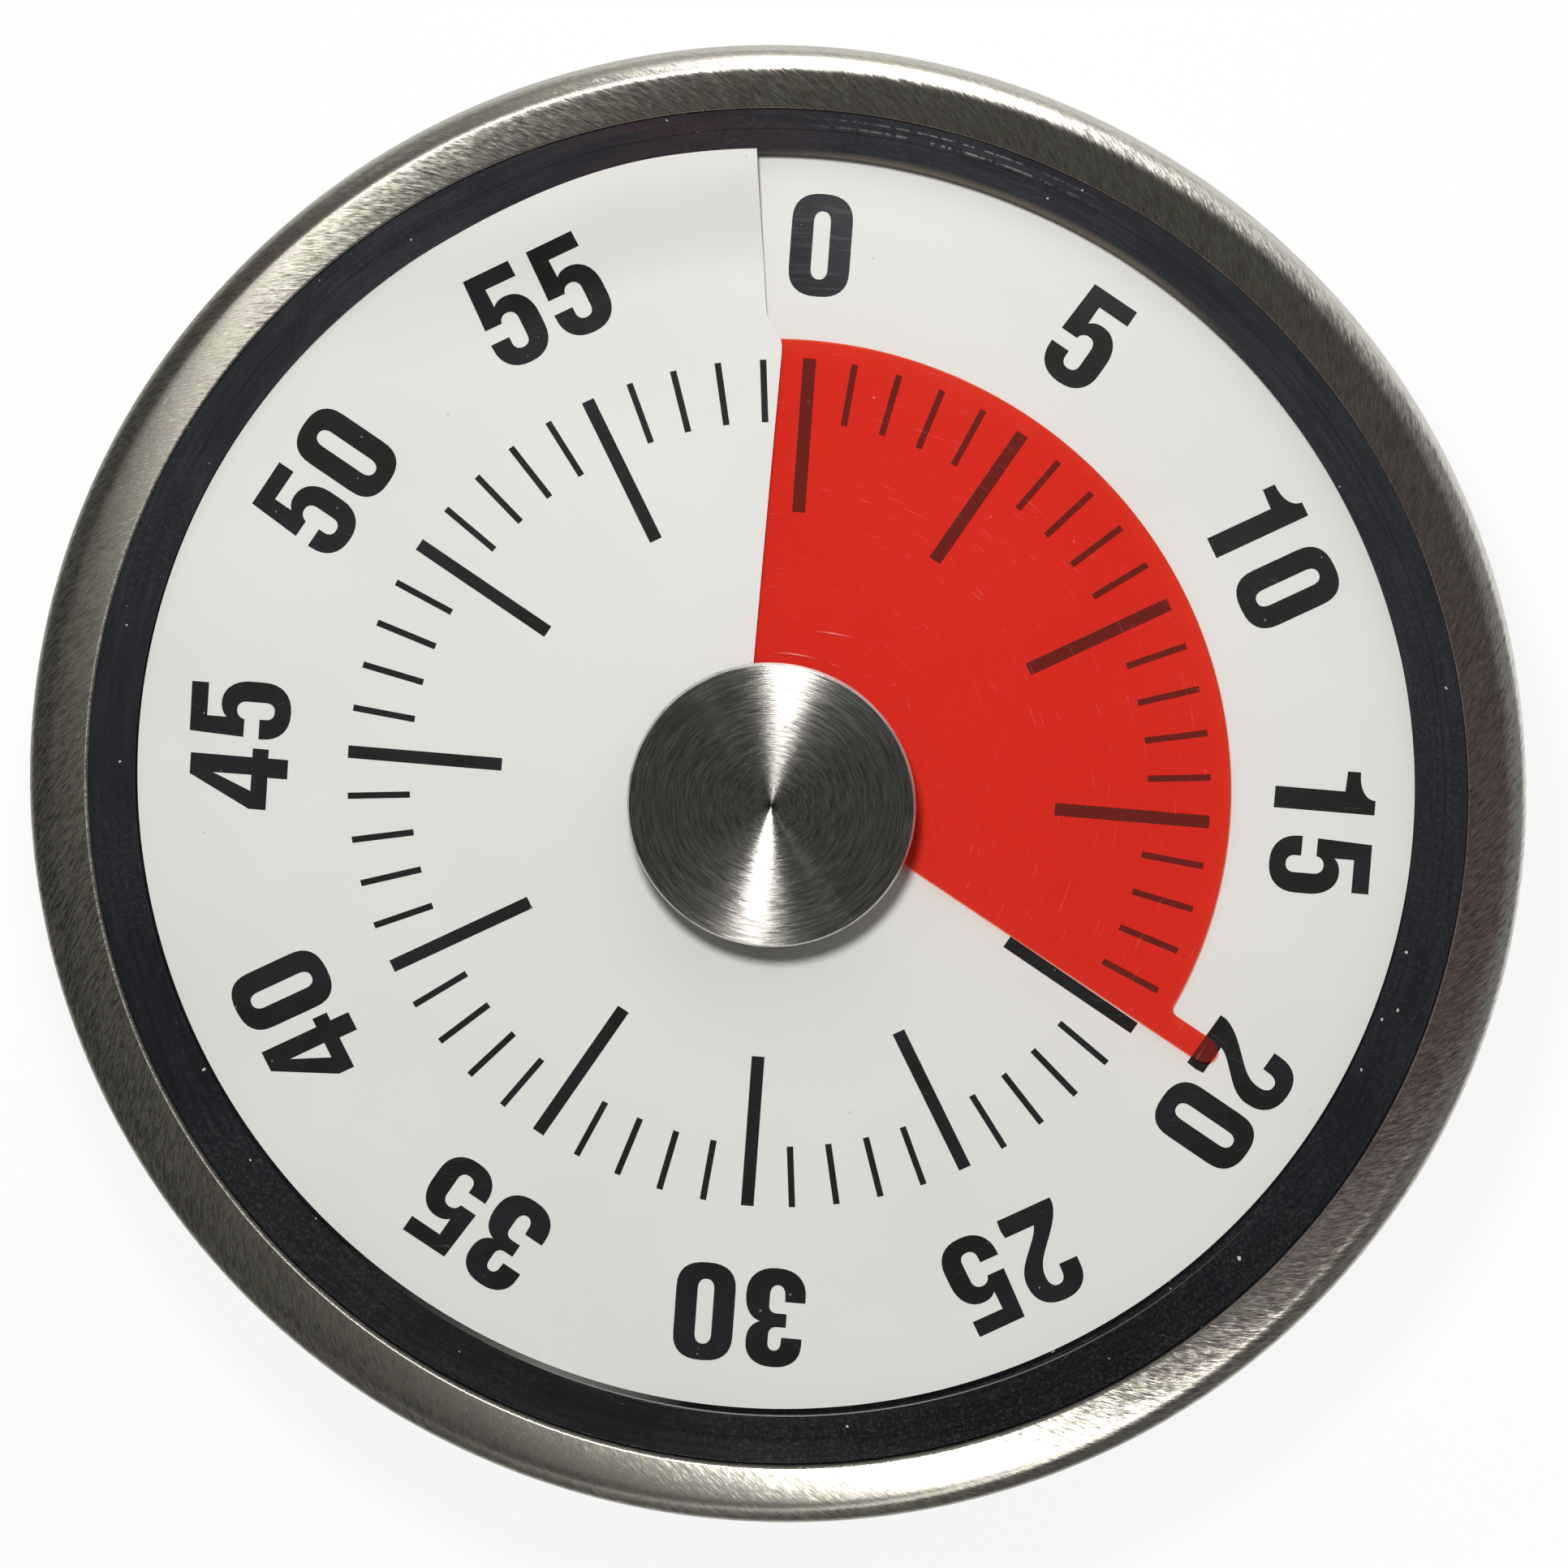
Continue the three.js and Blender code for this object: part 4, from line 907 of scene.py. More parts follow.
minute_marks = grown_mesh("minute_marks", marks_tree, {
    "Count": MINUTES, "Outer": 22.75 * MM, "Short": 19.45 * MM, "Long": 14.6 * MM, "Thin": 0.34 * MM,
    "Bold": 0.68 * MM, "Low": (DIAL_LOW - CLIMB * SEAM_START / 360) * MM, "Climb": CLIMB * MM,
    "Depth": 0.018 * MM, "Ink": dial_print_ink,
})
finish_piece(minute_marks, "case_body", "white_dial_sheet", dial_print_ink)


# %% Numbers
def bow(cx, cy, rx, ry, start, end, power=2.0, steps=16):
    """Part of a rounded box: an ellipse where power is 2, squarer above it."""
    made = []
    for i in range(steps + 1):
        angle = math.radians(start + (end - start) * i / steps)
        c, s = math.cos(angle), math.sin(angle)
        made.append((
            cx + rx * math.copysign(abs(c) ** (2 / power), c), cy + ry * math.copysign(abs(s) ** (2 / power), s),
        ))
    return made


def swing(a, b, c, d, steps=12):
    """A smooth curve from a to d that leaves towards b and arrives from c."""
    made = []
    for i in range(1, steps + 1):
        t = i / steps
        u = 1 - t
        made.append(tuple(
            u ** 3 * a[k] + 3 * u * u * t * b[k] + 3 * u * t * t * c[k] + t ** 3 * d[k] for k in (0, 1)
        ))
    return made


DIGITS = {
    "0": (3.17, [
        bow(1.585, 3.92, 1.585, 1.47, 0, 180, 2.5) + bow(1.585, 1.47, 1.585, 1.47, 180, 360, 2.5),
        bow(1.585, 3.90, 0.44, 0.58, 0, 180, 2.3) + bow(1.585, 1.49, 0.44, 0.58, 180, 360, 2.3),
    ]),
    "1": (2.23, [
        [(1.08, 0), (2.23, 0), (2.23, 5.29)] + bow(0.0, 5.29, 1.45, 0.88, 0, -90, 2.2) + [(0, 3.72), (1.08, 3.67)],
    ]),
    "2": (3.16, [
        [(0.07, 3.49)] + bow(1.615, 3.87, 1.545, 1.50, 180, 0, 2.3)
        + swing((3.16, 3.87), (3.16, 3.15), (2.75, 2.70), (2.22, 2.12))
        + swing((2.22, 2.12), (1.88, 1.74), (1.56, 1.42), (1.42, 1.02))
        + [(3.10, 1.02), (3.16, 0.55), (3.11, 0), (0, 0), (0, 0.30)]
        + swing((0, 0.30), (0.10, 0.88), (0.52, 1.42), (1.02, 2.0))
        + swing((1.02, 2.0), (1.60, 2.68), (2.06, 3.10), (2.06, 3.87))
        + bow(1.595, 3.87, 0.465, 0.62, 0, 180, 2.2) + [(1.11, 3.49)],
    ]),
    "3": (3.18, [
        [(0.06, 3.79)] + bow(1.55, 4.12, 1.49, 1.32, 180, 0, 2.3)
        + swing((3.04, 4.12), (3.04, 3.50), (2.82, 3.16), (2.36, 2.97))
        + swing((2.36, 2.97), (2.92, 2.80), (3.18, 2.30), (3.18, 1.52))
        + bow(1.59, 1.52, 1.59, 1.52, 0, -180, 2.3) + [(0, 1.82), (1.08, 1.82)]
        + bow(1.505, 1.48, 0.405, 0.55, 180, 360, 2.2)
        + bow(1.45, 2.02, 0.46, 0.46, 0, 90, 2.4) + [(0.95, 2.48), (0.95, 3.23)]
        + bow(1.40, 3.69, 0.46, 0.46, -90, 0, 2.4)
        + bow(1.515, 4.10, 0.345, 0.43, 0, 180, 2.2) + [(1.15, 3.79)],
    ]),
    "4": (3.27, [
        [(1.66, 5.18), (2.79, 5.18), (2.79, 1.91), (3.27, 1.91), (3.27, 1.06), (2.80, 1.06), (2.80, 0), (1.75, 0),
         (1.75, 1.04), (0, 1.04), (0, 1.95)],
        [(1.82, 3.95), (1.84, 1.91), (0.97, 1.91)],
    ]),
    "5": (3.06, [
        [(0.19, 5.31), (2.84, 5.33), (2.84, 4.43), (1.07, 4.43), (1.07, 3.40)]
        + swing((1.07, 3.40), (1.25, 3.60), (1.50, 3.70), (1.80, 3.70))
        + bow(1.80, 2.15, 1.26, 1.55, 90, 0, 2.2) + bow(1.53, 1.52, 1.53, 1.52, 0, -180, 2.3)
        + [(0, 1.65), (1.06, 1.65)] + bow(1.515, 1.35, 0.455, 0.48, 180, 360, 2.3)
        + bow(1.50, 2.32, 0.47, 0.54, 0, 90, 2.3)
        + swing((1.50, 2.86), (1.25, 2.86), (1.07, 2.70), (1.02, 2.45)) + [(0.06, 2.45)],
    ]),
}
DIGIT_GAP = {"1": 1.40, "2": 0.65, "3": 0.57, "4": 0.51, "5": 0.63}
NUMBER_FOOT = 26.02
# How far each number stands to the right of its mark, and outwards, as the print has them.
NUMBER_SHIFT = {
    0: (0.14, 0.0), 5: (-0.02, 0.06), 10: (0.02, 0.02), 15: (0.03, 0.02), 20: (0.30, 0.06), 25: (0.06, 0.06),
    30: (-0.01, 0.0), 35: (-0.22, -0.03), 40: (-0.56, -0.05), 45: (-0.11, -0.13), 50: (0.02, -0.13), 55: (0.08, -0.15),
}


def filled(outlines, cut=0.4):
    """Flat faces inside closed outlines, with holes where one lies inside another, cut small enough to bend."""
    data = bpy.data.curves.new("outline", "CURVE")
    data.dimensions = "2D"
    data.fill_mode = "BOTH"
    for outline in outlines:
        spline = data.splines.new("POLY")
        spline.points.add(len(outline) - 1)
        for point, (x, y) in zip(spline.points, outline):
            point.co = (x, y, 0, 1)
        spline.use_cyclic_u = True
    holder = bpy.data.objects.new("outline", data)
    mesh = bpy.data.meshes.new_from_object(holder)
    shape = bmesh.new()
    shape.from_mesh(mesh)
    for way in ((1, 0, 0), (0, 1, 0)):
        for i in range(1, 14):
            everything = shape.verts[:] + shape.edges[:] + shape.faces[:]
            spot = [value * cut * i for value in way]
            bmesh.ops.bisect_plane(shape, geom=everything, dist=1e-4, plane_co=spot, plane_no=way)
    shape.to_mesh(mesh)
    shape.free()
    made = [tuple(v.co) for v in mesh.vertices], [tuple(p.vertices) for p in mesh.polygons]
    bpy.data.objects.remove(holder)
    return made


flat_digits = {digit: filled(outlines) for digit, (_, outlines) in DIGITS.items()}
INK = 0.009
points = []
faces = []
for minute, (shift, out) in NUMBER_SHIFT.items():
    text = str(minute)
    width = sum(DIGITS[d][0] for d in text) + (DIGIT_GAP[text[0]] if len(text) > 1 else 0)
    left = shift - width / 2
    turn = math.radians(minute * 360 / MINUTES)
    for digit in text:
        flat_points, flat_faces = flat_digits[digit]
        laid = []
        for x, y, _ in flat_points:
            across = left + x
            outwards = NUMBER_FOOT + out + y
            px = across * math.cos(turn) + outwards * math.sin(turn)
            py = outwards * math.cos(turn) - across * math.sin(turn)
            laid.append((px, py, dial_height(px, py) + INK))
        solid_points, solid_faces = thicken(laid, flat_faces, 2 * INK)
        faces += [tuple(i + len(points) for i in f) for f in solid_faces]
        points += solid_points
        left += DIGITS[digit][0] + DIGIT_GAP.get(digit, 0)
minute_numbers = piece("minute_numbers", points, faces, sharp=30)
finish_piece(minute_numbers, "case_body", "white_dial_sheet", dial_print_ink)

# %% [markdown]
# ## The red film
# The film is a disc of clear red sheet on the knob's hub. Like the dial it climbs as it goes round, so that it
# slides up through the slit: what is past the slit lies on the dial, and the rest waits below it. Its leading
# edge is straight and carries a small finger that points at the minute. It is one grid of rings and spokes, whose
# first few columns run on into the finger, so there is no seam. Clear film takes its colour from the light that
# passes it twice, so its finish is mostly a red transparent shader, with a little glossy red on top. Turning the
# knob has rubbed a few pale arcs into it, and two of them lie close beside the knob.

# %% Clear red film
red_film_paint, tree, output = material("clear_red_film")
spot = millimetres(tree)
sweep = effect(grain, spot, Round=7.0, Outward=22.0)
arcs = within(sweep, 0.68, 0.75)
out, heading = polar(spot)
rubs = times(near(out, 7.17, 0.06), near(heading, 0.06, 0.18))
slant = minus(out, times(heading, 1.6))
rubs = most(rubs, times(near(slant, 8.32, 0.06), near(heading, 0.27, 0.12)))
scuff = effect(hairs, spot, Turn=1.1, Scale=1.5, Amount=0.26)
dust = effect(specks, spot, Scale=0.9, Size=0.05, Share=0.25)
marks = most(times(arcs, 0.5), times(scuff, 0.3))
marks = most(marks, most(times(dust, 0.5), rubs))
stain = noise(spot, 0.09, 3.0)
gloss = node(tree, "ShaderNodeBsdfPrincipled", {
    "Base Color": blend(marks, (0.63, 0.140, 0.125), (0.95, 0.62, 0.58)),
    "Roughness": spread(stain, 0.18, 0.30, 0.3, 0.7),
    "Normal": bump(plus(sweep, marks), 0.2, 0.00001),
})
clear = node(tree, "ShaderNodeBsdfTransparent", {
    "Color": blend(within(stain, 0.3, 0.7), (0.995, 0.350, 0.21), (1.0, 0.372, 0.24)),
})
share = plus(0.10, times(marks, 0.5))
film_mix = node(tree, "ShaderNodeMixShader", {0: share, 1: clear.outputs[0], 2: gloss.outputs[0]})
tree.links.new(film_mix.outputs[0], output.inputs["Surface"])

# %% Shape of the film
SET_BEARING = 119.6
FILM_TOP = 23.175
FILM_SPAN = 345
FILM_HOLE = 3.1
FILM_EDGE = 23.8
EDGE_OFFSET = 0.41
FINGER_WIDTH = 1.35
FINGER_FILLET = 0.4
FINGER_TIP = 27.1
edge_columns = [0, 0.1, 0.22, 0.38, 0.53, 0.675, 0.82, 0.97, 1.13, 1.25, FINGER_WIDTH, 1.39, 1.48, 1.6, 1.75]


def edge_point(across, along):
    """A point in the frame of the leading edge: across is anticlockwise from it, along runs outwards beside it."""
    turn = math.radians(SET_BEARING)
    side = EDGE_OFFSET + across
    x = along * math.sin(turn) - side * math.cos(turn)
    y = along * math.cos(turn) + side * math.sin(turn)
    behind = math.degrees(math.atan2(side, along))
    return x, y, FILM_TOP - CLIMB * behind / 360


def arc_point(behind, radius):
    """A point a number of degrees anticlockwise from the set bearing."""
    turn = math.radians(SET_BEARING - behind)
    return radius * math.sin(turn), radius * math.cos(turn), FILM_TOP - CLIMB * behind / 360


def beside(across, radius):
    """How far along the leading edge a line beside it meets a circle."""
    return math.sqrt(radius ** 2 - (EDGE_OFFSET + across) ** 2)


# %% Film
COLUMNS = 300
film_radii = [FILM_HOLE + i * 1.15 for i in range(18)] + [FILM_EDGE]
points = []
for radius in film_radii:
    row = [edge_point(across, beside(across, radius)) for across in edge_columns]
    start = math.degrees(math.asin((EDGE_OFFSET + edge_columns[-1]) / radius))
    row += [arc_point(start + (FILM_SPAN - start) * i / COLUMNS, radius) for i in range(1, COLUMNS + 1)]
    points += row
width = len(edge_columns) + COLUMNS
faces = []
for j in range(len(film_radii) - 1):
    for i in range(width - 1):
        faces.append((j * width + i, (j + 1) * width + i, (j + 1) * width + i + 1, j * width + i + 1))

ROOT_ROWS = 5
TIP_ROWS = 8
tip_round = FINGER_WIDTH / 2
finger_columns = edge_columns.index(FINGER_WIDTH) + 1
last_row = (len(film_radii) - 1) * width
grid = {}
for i, across in enumerate(edge_columns):
    root = beside(across, FILM_EDGE)
    lean = edge_columns[-1] - across
    if across <= FINGER_WIDTH:
        top = root + FINGER_FILLET
    else:
        top = root + FINGER_FILLET - math.sqrt(max(0.0, FINGER_FILLET ** 2 - lean ** 2))
    for k in range(1, ROOT_ROWS + 1):
        grid[i, k] = len(points)
        points.append(edge_point(across, root + (top - root) * k / ROOT_ROWS))
    grid[i, 0] = last_row + i
    if i < finger_columns:
        tip = FINGER_TIP - tip_round + math.sqrt(max(0.0, tip_round ** 2 - (across - tip_round) ** 2))
        for k in range(1, TIP_ROWS + 1):
            grid[i, ROOT_ROWS + k] = len(points)
            points.append(edge_point(across, top + (tip - top) * k / TIP_ROWS))
for (i, k) in list(grid):
    corners = [(i, k), (i, k + 1), (i + 1, k + 1), (i + 1, k)]
    if all(corner in grid for corner in corners):
        faces.append(tuple(grid[corner] for corner in corners))
red_film = piece("red_film_fine", *thicken(points, faces, SHEET), sharp=60)
finish_piece(red_film, "knob_body", "red_film", red_film_paint, "red_film")

# %% [markdown]
# ## The knob
# The knob is a steel cap, turned on a lathe, that grows a little wider towards its flat top. The lathe tool
# leaves circles, so a lamp is mirrored as a bow tie: two bright fans that meet in the middle. Anisotropy with a
# tangent along the circles, turned by a quarter, draws the fans. The circles' small tilts fray their edges, as
# each circle leans its own way. A faint diagonal highlight across the cap, as from a second lamp, is painted into
# its colour, and use has left a few nicks. The lathe's centre leaves a dark pip in the middle, and the bevel round
# the top is painted bright, a painted reflection.

# %% Spun steel
spun_knob_steel, tree, output = material("spun_knob_steel")
spot = millimetres(tree)
fine = effect(grain, spot, Round=6.0, Outward=38.0, Detail=3.0)
broad = effect(grain, spot, Round=3.0, Outward=11.0)
lines = plus(times(fine, 0.6), times(broad, 0.4))
fray = effect(grain, spot, Round=7.0, Outward=24.0, Detail=3.0)
scratch = effect(hairs, spot, Turn=-0.8, Scale=1.2, Amount=0.27)
tone = blend(within(lines, 0.41, 0.59), (0.160, 0.155, 0.149), (0.45, 0.438, 0.408))
tone = over(tone, scratch, 0.4, (0.9, 0.9, 0.88))
out, heading = polar(spot)
# Painted highlight: a faint diagonal streak across the cap, as a second lamp would draw.
skewed = node(tree, "ShaderNodeVectorRotate", {"Vector": spot, "Angle": math.radians(-39)}, rotation_type="Z_AXIS")
highlight_streak_paint = times(near(part(skewed.outputs[0], "X"), 0.0, 0.14), within(out, 2.0, 4.5))
highlight_streak_paint = times(highlight_streak_paint, spread(broad, 0.3, 1.0, 0.4, 0.6))
tone = over(tone, highlight_streak_paint, 0.22, (0.80, 0.72, 0.75))
nicks = effect(specks, spot, Scale=0.75, Size=0.055, Share=0.20)
tone = over(tone, nicks, 0.8, (0.95, 0.95, 0.93))
tone = blend(near(out, 0.0, 0.50), tone, (0.02, 0.02, 0.02))
# Painted reflection: the bevel round the top is painted bright.
bevel_highlight_paint = times(within(out, 7.41, 7.44), maths("GREATER_THAN", part(spot, "Z"), head("knob_cap") - 0.21))
tone = over(tone, bevel_highlight_paint, 0.8, (0.93, 0.92, 0.90))
lean = effect(tilted, spot, Lean=math.radians(90), Amount=times(minus(fray, 0.5), 0.10))
relief = bump(lines, 0.4, 0.00001, lean)
across = node(tree, "ShaderNodeTangent", direction_type="RADIAL", axis="Z").outputs[0]
surface(output, tone, spread(lines, 0.24, 0.29, 0.3, 0.7), relief, **{
    "Metallic": 1.0, "Anisotropic": 1.0, "Anisotropic Rotation": 0.25, "Tangent": across,
})

# %% Knob cap
KNOB_TOP = head("knob_cap")
KNOB_FOOT = foot("knob_cap")
KNOB_RADIUS = reach("knob_cap") + 0.05
KNOB_WALL = 0.7
KNOB_TAPER = 1.0
knob_profile = [(0, KNOB_TOP - 0.05), (0.16, KNOB_TOP - 0.045), (0.28, KNOB_TOP)] + eased([
    (KNOB_RADIUS - 0.12, KNOB_TOP, 0.04),
    (KNOB_RADIUS, KNOB_TOP - 0.20, 0.05),
    (KNOB_RADIUS - KNOB_TAPER, KNOB_FOOT, 0.1),
    (KNOB_RADIUS - KNOB_TAPER - KNOB_WALL, KNOB_FOOT, 0.1),
    (KNOB_RADIUS - KNOB_WALL, KNOB_TOP - KNOB_WALL, 0),
    (0, KNOB_TOP - KNOB_WALL, 0),
    (0, KNOB_TOP, 0),
])[:-1]
knob_cap = turned("knob_cap_fine", knob_profile, steps=288, sharp=30)
finish_piece(knob_cap, "knob_body", "spun_knob_steel", spun_knob_steel, "knob_cap")

# %% [markdown]
# ## The back
# The back is a black moulded cover with a round magnet, so that the timer can hang on a fridge, and three screws
# in counterbores. The cover is turned from its profile, and its screw holes are cut by a boolean, which is simple
# and exact for so few. Its underside has the fine even texture of spark-eroded moulds.

# %% Moulded plastic
black_moulding, tree, output = material("black_moulding")
spot = millimetres(tree)
spark = noise(spot, 3.2, 3.0, 0.6)
flow = noise(spot, 0.06, 3.0)
scrape = effect(hairs, spot, Turn=0.4, Scale=0.9, Amount=0.29)
dust = effect(specks, spot, Scale=0.8, Size=0.07, Share=0.12)
tone = blend(within(flow, 0.3, 0.7), (0.019, 0.019, 0.020), (0.028, 0.028, 0.030))
tone = over(tone, scrape, 0.35, (0.13, 0.13, 0.13))
tone = over(tone, dust, 0.4, (0.45, 0.44, 0.42))
surface(output, tone, spread(flow, 0.50, 0.62, 0.3, 0.7), bump(spark, 0.5, 0.00003))

# %% Back cover
SCREW_COUNT = 3
SCREW_CIRCLE = 29.17
SCREW_TURN = 90
COVER_TOP = 2.4
cover_profile = [(0, 2.3)] + eased([
    (15.3, 2.3, 0),
    (15.3, 0.0, 0.2),
    (17.6, 0.0, 0.1),
    (17.6, 0.3, 0),
    (18.2, 0.3, 0),
    (18.2, 0.0, 0.1),
    (reach("back_cover"), 0.0, 0.4),
    (reach("back_cover"), COVER_TOP, 0),
    (16.9, COVER_TOP, 0.3),
    (16.9, 3.3, 0.3),
    (3.0, 3.3, 0.3),
    (3.0, 4.6, 0.1),
    (1.3, 4.6, 0),
    (1.3, 2.8, 0),
    (0, 2.8, 0),
])
back_cover = turned("back_cover_fine", cover_profile, steps=240, sharp=40)


def screw_places():
    """The middle of each cover screw."""
    for k in range(SCREW_COUNT):
        angle = math.radians(SCREW_TURN + 360 * k / SCREW_COUNT)
        yield SCREW_CIRCLE * math.cos(angle), SCREW_CIRCLE * math.sin(angle)


def rod(name, x, y, radius, low, high, steps=48):
    """A plain cutting rod."""
    ring = [(x + radius * math.cos(2 * math.pi * i / steps), y + radius * math.sin(2 * math.pi * i / steps))
            for i in range(steps)]
    points = [(px, py, low) for px, py in ring] + [(px, py, high) for px, py in ring]
    sides = [(i, (i + 1) % steps, (i + 1) % steps + steps, i + steps) for i in range(steps)]
    return piece(name, points, [*sides, tuple(reversed(range(steps))), tuple(range(steps, 2 * steps))])


def cut(target, tool):
    """Takes one solid away from another, for good."""
    modifier = target.modifiers.new("cut", "BOOLEAN")
    modifier.operation = "DIFFERENCE"
    modifier.solver = "EXACT"
    modifier.object = tool
    settle(target)
    bpy.data.objects.remove(tool)


COUNTERBORE = 2.4
COUNTERBORE_DEPTH = 1.45
SCREW_HOLE = 1.1
for x, y in screw_places():
    cut(back_cover, rod("counterbore", x, y, COUNTERBORE, -1.0, COUNTERBORE_DEPTH))
    cut(back_cover, rod("screw_hole", x, y, SCREW_HOLE, 1.0, COVER_TOP + 1))
finish_piece(back_cover, "case_body", "black_moulding", black_moulding, "back_cover")

# %% Magnet
ferrite, tree, output = material("ferrite")
spot = millimetres(tree)
grit = noise(spot, 2.2, 6.0, 0.7)
ground = effect(hairs, spot, Turn=0.9, Scale=0.7, Amount=0.34)
pits = effect(specks, spot, Scale=0.7, Size=0.16, Share=0.22)
tone = blend(within(grit, 0.3, 0.7), (0.050, 0.048, 0.047), (0.095, 0.092, 0.090))
tone = over(tone, ground, 0.4, (0.22, 0.21, 0.20))
tone = over(tone, pits, 0.6, (0.02, 0.02, 0.02))
relief = bump(minus(grit, pits), 0.6, 0.00006)
surface(output, tone, spread(grit, 0.48, 0.68, 0.3, 0.7), relief, **{"Specular IOR Level": 0.7})
MAGNET_RADIUS = reach("magnet_disc")
MAGNET_TOP = head("magnet_disc")
magnet_disc = turned("magnet_disc_fine", [(0, 0)] + eased([
    (MAGNET_RADIUS - 0.45, 0.0, 0.12),
    (MAGNET_RADIUS, 0.45, 0.12),
    (MAGNET_RADIUS, MAGNET_TOP - 0.45, 0.12),
    (MAGNET_RADIUS - 0.45, MAGNET_TOP, 0.12),
    (0, MAGNET_TOP, 0),
    (0, 0, 0),
])[:-1], steps=144, sharp=30)
finish_piece(magnet_disc, "case_body", "ferrite", ferrite, "magnet_disc")

# %% [markdown]
# ## The screws in the cover
# Three equal screws hold the cover. One is turned, with a slot across its domed head and rounded threads on its
# shank, and a small Geometry Nodes tree puts it on three points of a circle.

# %% Screw steel
screw_steel, tree, output = material("screw_steel")
spot = millimetres(tree)
plating = noise(spot, 0.9, 4.0)
wear = effect(hairs, spot, Turn=0.3, Scale=1.6, Amount=0.36)
tone = blend(within(plating, 0.35, 0.65), (0.34, 0.35, 0.37), (0.52, 0.52, 0.52))
tone = over(tone, wear, 0.5, (0.72, 0.71, 0.69))
surface(output, tone, spread(plating, 0.24, 0.40, 0.3, 0.7), bump(plus(plating, wear), 0.3, 0.00002), Metallic=1.0)

# %% One screw
SCREW_HEAD = 2.1
HEAD_FOOT = foot("cover_screw_1")
SCREW_TIP = head("cover_screw_1")
THREAD_PITCH = 0.45
THREAD_ROOT = 0.82
thread = []
height = HEAD_FOOT + 1.6
while height < SCREW_TIP - 1.0:
    thread += [(THREAD_ROOT, height), (1.0, height + 0.16), (1.0, height + 0.24), (THREAD_ROOT, height + 0.40)]
    height += THREAD_PITCH
screw_profile = [(0, HEAD_FOOT)] + eased([
    (1.3, HEAD_FOOT, 0.5),
    (SCREW_HEAD, HEAD_FOOT + 0.35, 0.25),
    (SCREW_HEAD, HEAD_FOOT + 1.0, 0.1),
    (0.95, HEAD_FOOT + 1.0, 0),
], steps=3) + [(0.9, HEAD_FOOT + 1.4)] + thread + [(0.7, SCREW_TIP - 0.4), (0.35, SCREW_TIP), (0, SCREW_TIP)]
one_screw = turned("one_screw", screw_profile, steps=32, sharp=40)
slot_cutter = piece(
    "slot_cutter",
    [(x * 3, y * 0.315, z) for z in (HEAD_FOOT - 1, HEAD_FOOT + 0.45) for x, y in ((-1, -1), (1, -1), (1, 1), (-1, 1))],
    [(3, 2, 1, 0), (4, 5, 6, 7), (0, 1, 5, 4), (1, 2, 6, 5), (2, 3, 7, 6), (3, 0, 4, 7)],
)
cut(one_screw, slot_cutter)
print("one screw", len(one_screw.data.polygons), "faces")

# %% Three screws
screws_tree, given, result = geometry_tree("cover_screws", [
    ("Screw", "NodeSocketObject"), ("Count", "NodeSocketInt"), ("Circle", FLOAT), ("Turn", FLOAT),
    ("Steel", "NodeSocketMaterial"),
])
which = node(screws_tree, "GeometryNodeInputIndex").outputs[0]
angle = maths("MULTIPLY_ADD", maths("DIVIDE", which, given["Count"]), 2 * math.pi, given["Turn"])
spots = joined(times(maths("COSINE", angle), given["Circle"]), times(maths("SINE", angle), given["Circle"]))
screw = node(screws_tree, "GeometryNodeObjectInfo", {"Object": given["Screw"]}).outputs["Geometry"]
stand_round(screws_tree, result, given["Count"], spots, times(angle, 1.7), screw, given["Steel"])
cover_screws = grown_mesh("cover_screws", screws_tree, {
    "Screw": one_screw, "Count": SCREW_COUNT, "Circle": SCREW_CIRCLE * MM, "Turn": math.radians(SCREW_TURN),
    "Steel": screw_steel,
})
bpy.data.objects.remove(one_screw)
finish_piece(cover_screws, "case_body", "screw_steel", screw_steel, "cover_screw_1", "cover_screw_2", "cover_screw_3")

# %% [markdown]
# ## Inside the case
# The movement isn't seen from outside, but it is there: plates, wheels, arbors, springs, a bell and a hammer.
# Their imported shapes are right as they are, so each only gets its finish. Stamped plates are zinc plated, with a
# mottled bloom. Turned arbors and springs are bright, faintly blue steel. Wheels are brass or white nylon.

# %% Plated sheet
plated_sheet_steel, tree, output = material("plated_sheet_steel")
spot = millimetres(tree)
bloom = node(tree, "ShaderNodeTexVoronoi", {"Vector": spot, "Scale": 0.45}).outputs["Color"]
bloom = node(tree, "ShaderNodeSeparateColor", {0: bloom}).outputs["Red"]
cloud = noise(spot, 0.3, 4.0)
scrape = effect(hairs, spot, Turn=0.2, Scale=0.8, Amount=0.33)
tone = blend(times(plus(bloom, cloud), 0.5), (0.44, 0.45, 0.46), (0.60, 0.60, 0.59))
tone = over(tone, scrape, 0.5, (0.75, 0.75, 0.73))
surface(output, tone, spread(cloud, 0.30, 0.48, 0.3, 0.7), bump(plus(cloud, scrape), 0.3, 0.00002), Metallic=1.0)

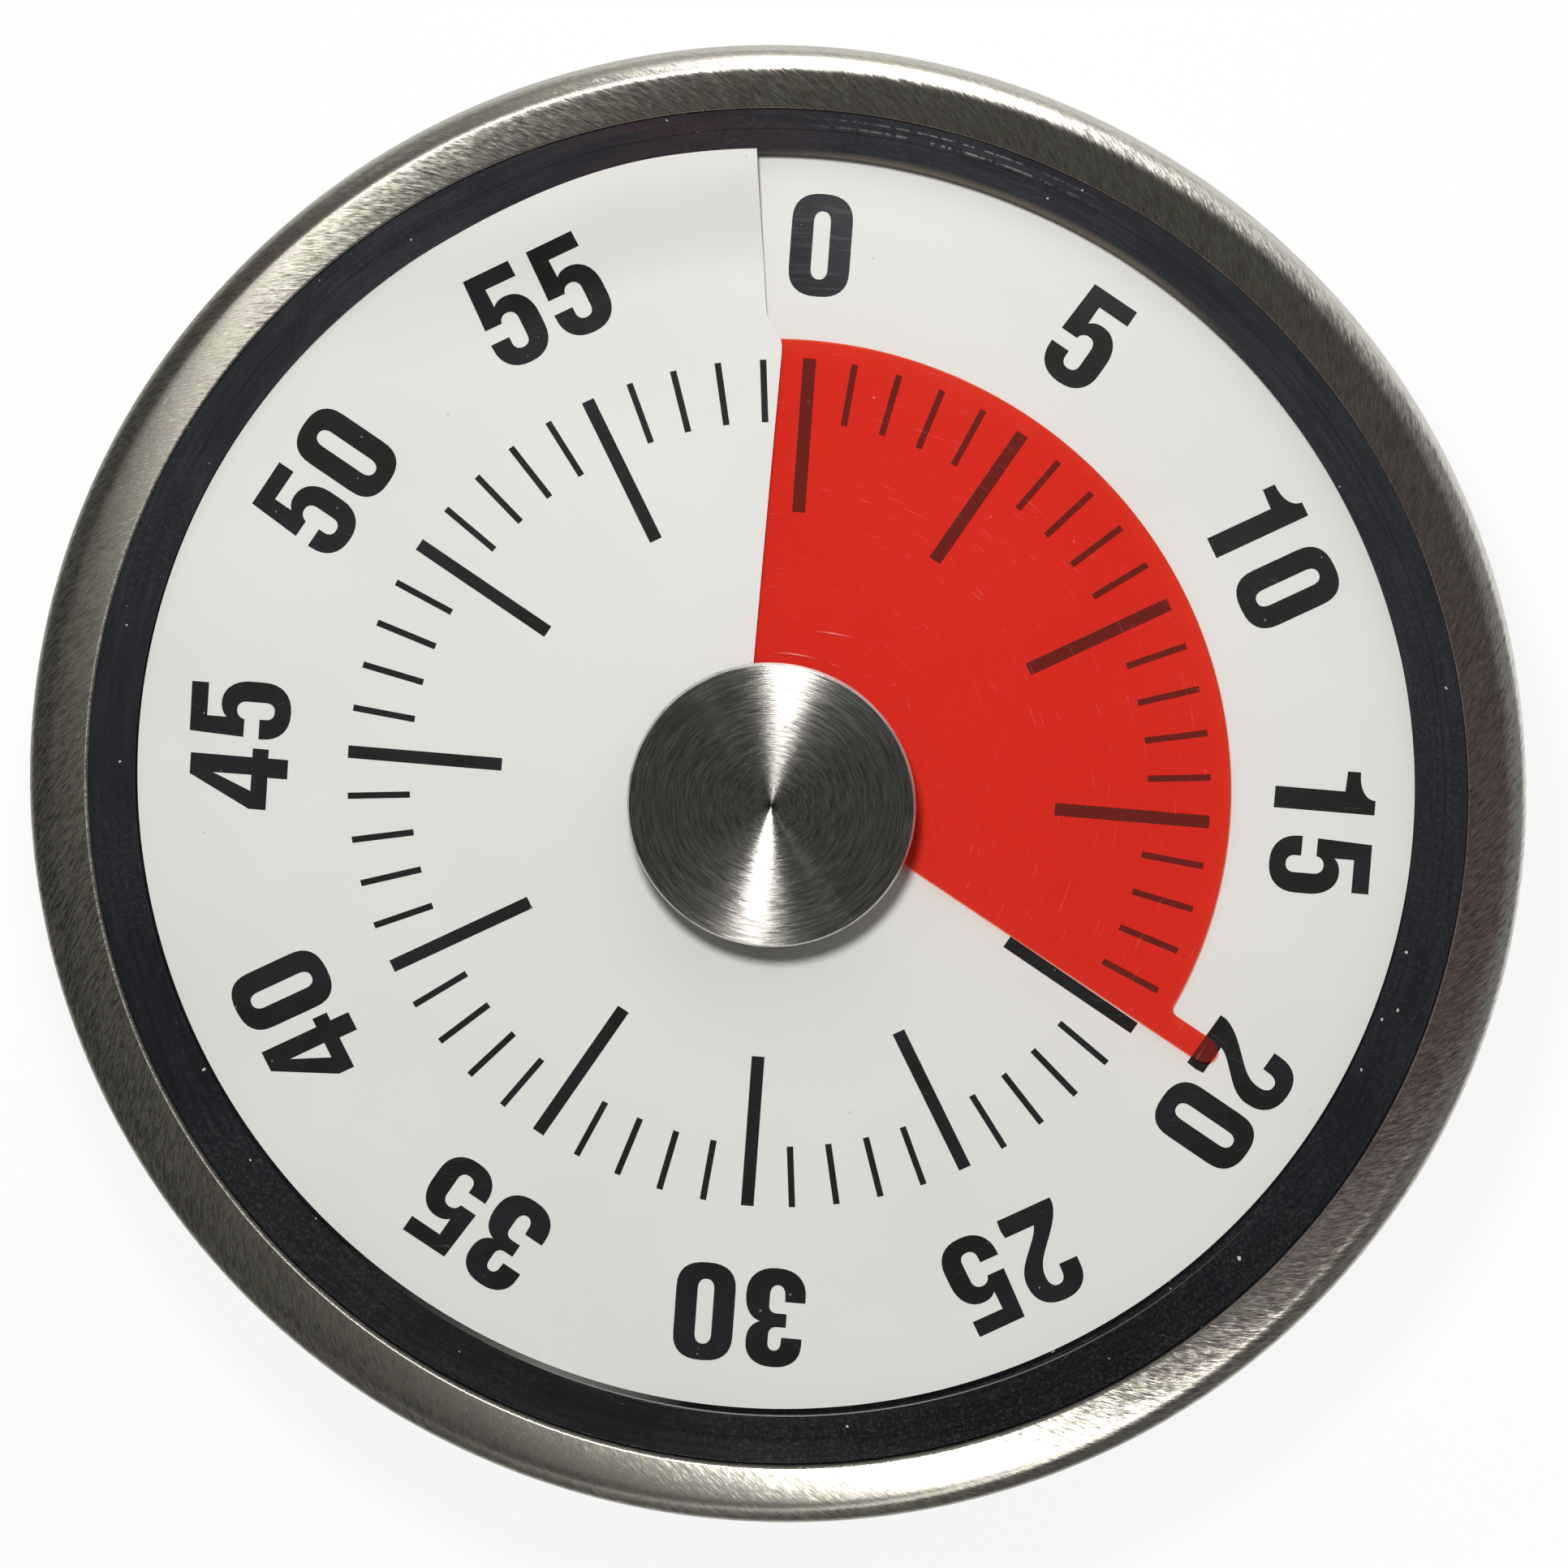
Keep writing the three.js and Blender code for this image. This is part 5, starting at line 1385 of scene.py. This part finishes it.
# %% Spring steel
spring_steel, tree, output = material("spring_steel")
spot = millimetres(tree)
drawn = noise(spot, 1.4, 5.0, 0.65)
polish = effect(hairs, spot, Turn=1.2, Scale=1.9, Amount=0.35)
tone = blend(within(drawn, 0.35, 0.65), (0.30, 0.32, 0.36), (0.47, 0.48, 0.50))
tone = over(tone, polish, 0.5, (0.68, 0.69, 0.70))
surface(output, tone, spread(drawn, 0.20, 0.36, 0.3, 0.7), bump(drawn, 0.3, 0.00001), Metallic=1.0)

# %% Brass
brass, tree, output = material("brass")
spot = millimetres(tree)
tarnish = noise(spot, 0.35, 5.0, 0.6)
stamped = effect(hairs, spot, Turn=0.7, Scale=1.1, Amount=0.36)
tone = blend(within(tarnish, 0.35, 0.65), (0.62, 0.43, 0.16), (0.80, 0.60, 0.26))
tone = over(tone, stamped, 0.5, (0.92, 0.78, 0.45))
surface(output, tone, spread(tarnish, 0.22, 0.42, 0.3, 0.7), bump(stamped, 0.3, 0.00002), Metallic=1.0)

# %% White nylon
white_nylon, tree, output = material("white_nylon")
spot = millimetres(tree)
milky = noise(spot, 0.5, 3.0)
ejector = effect(specks, spot, Scale=0.5, Size=0.12, Share=0.2)
tone = blend(within(milky, 0.3, 0.7), (0.74, 0.73, 0.68), (0.82, 0.81, 0.77))
tone = over(tone, ejector, 0.3, (0.55, 0.52, 0.46))
surface(output, tone, spread(milky, 0.36, 0.5, 0.3, 0.7), bump(milky, 0.3, 0.00002))

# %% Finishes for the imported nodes
NODE_FINISHES = (
    (black_moulding, ("chassis", "knob_core", "film_hub")),
    (plated_sheet_steel, ("bell", "back_plate", "front_plate")),
    (screw_steel, (
        "bell_screw", *(f"plate_screw_{k}" for k in range(1, 5)), *(f"movement_screw_{k}" for k in range(1, 4)),
    )),
    (spring_steel, (
        "mainspring", "spring_post", "hammer_stud", "hammer_spring", "main_arbor", "ratchet_wheel", "click_stud",
        "click_spring", "click_lever", "second_arbor", "third_arbor", "escape_arbor", "balance_staff",
        "pallet_roller", "hammer_lever",
    )),
    (brass, ("great_wheel", "balance_wheel", "strike_cam", "hammer_head", *(f"pillar_{k}" for k in range(1, 5)))),
    (white_nylon, ("second_wheel", "third_wheel", "escape_wheel")),
)
for paint, names in NODE_FINISHES:
    for name in names:
        for slot in nodes[name].material_slots:
            slot.material = paint
    print(paint.name, "on", len(names), "nodes")
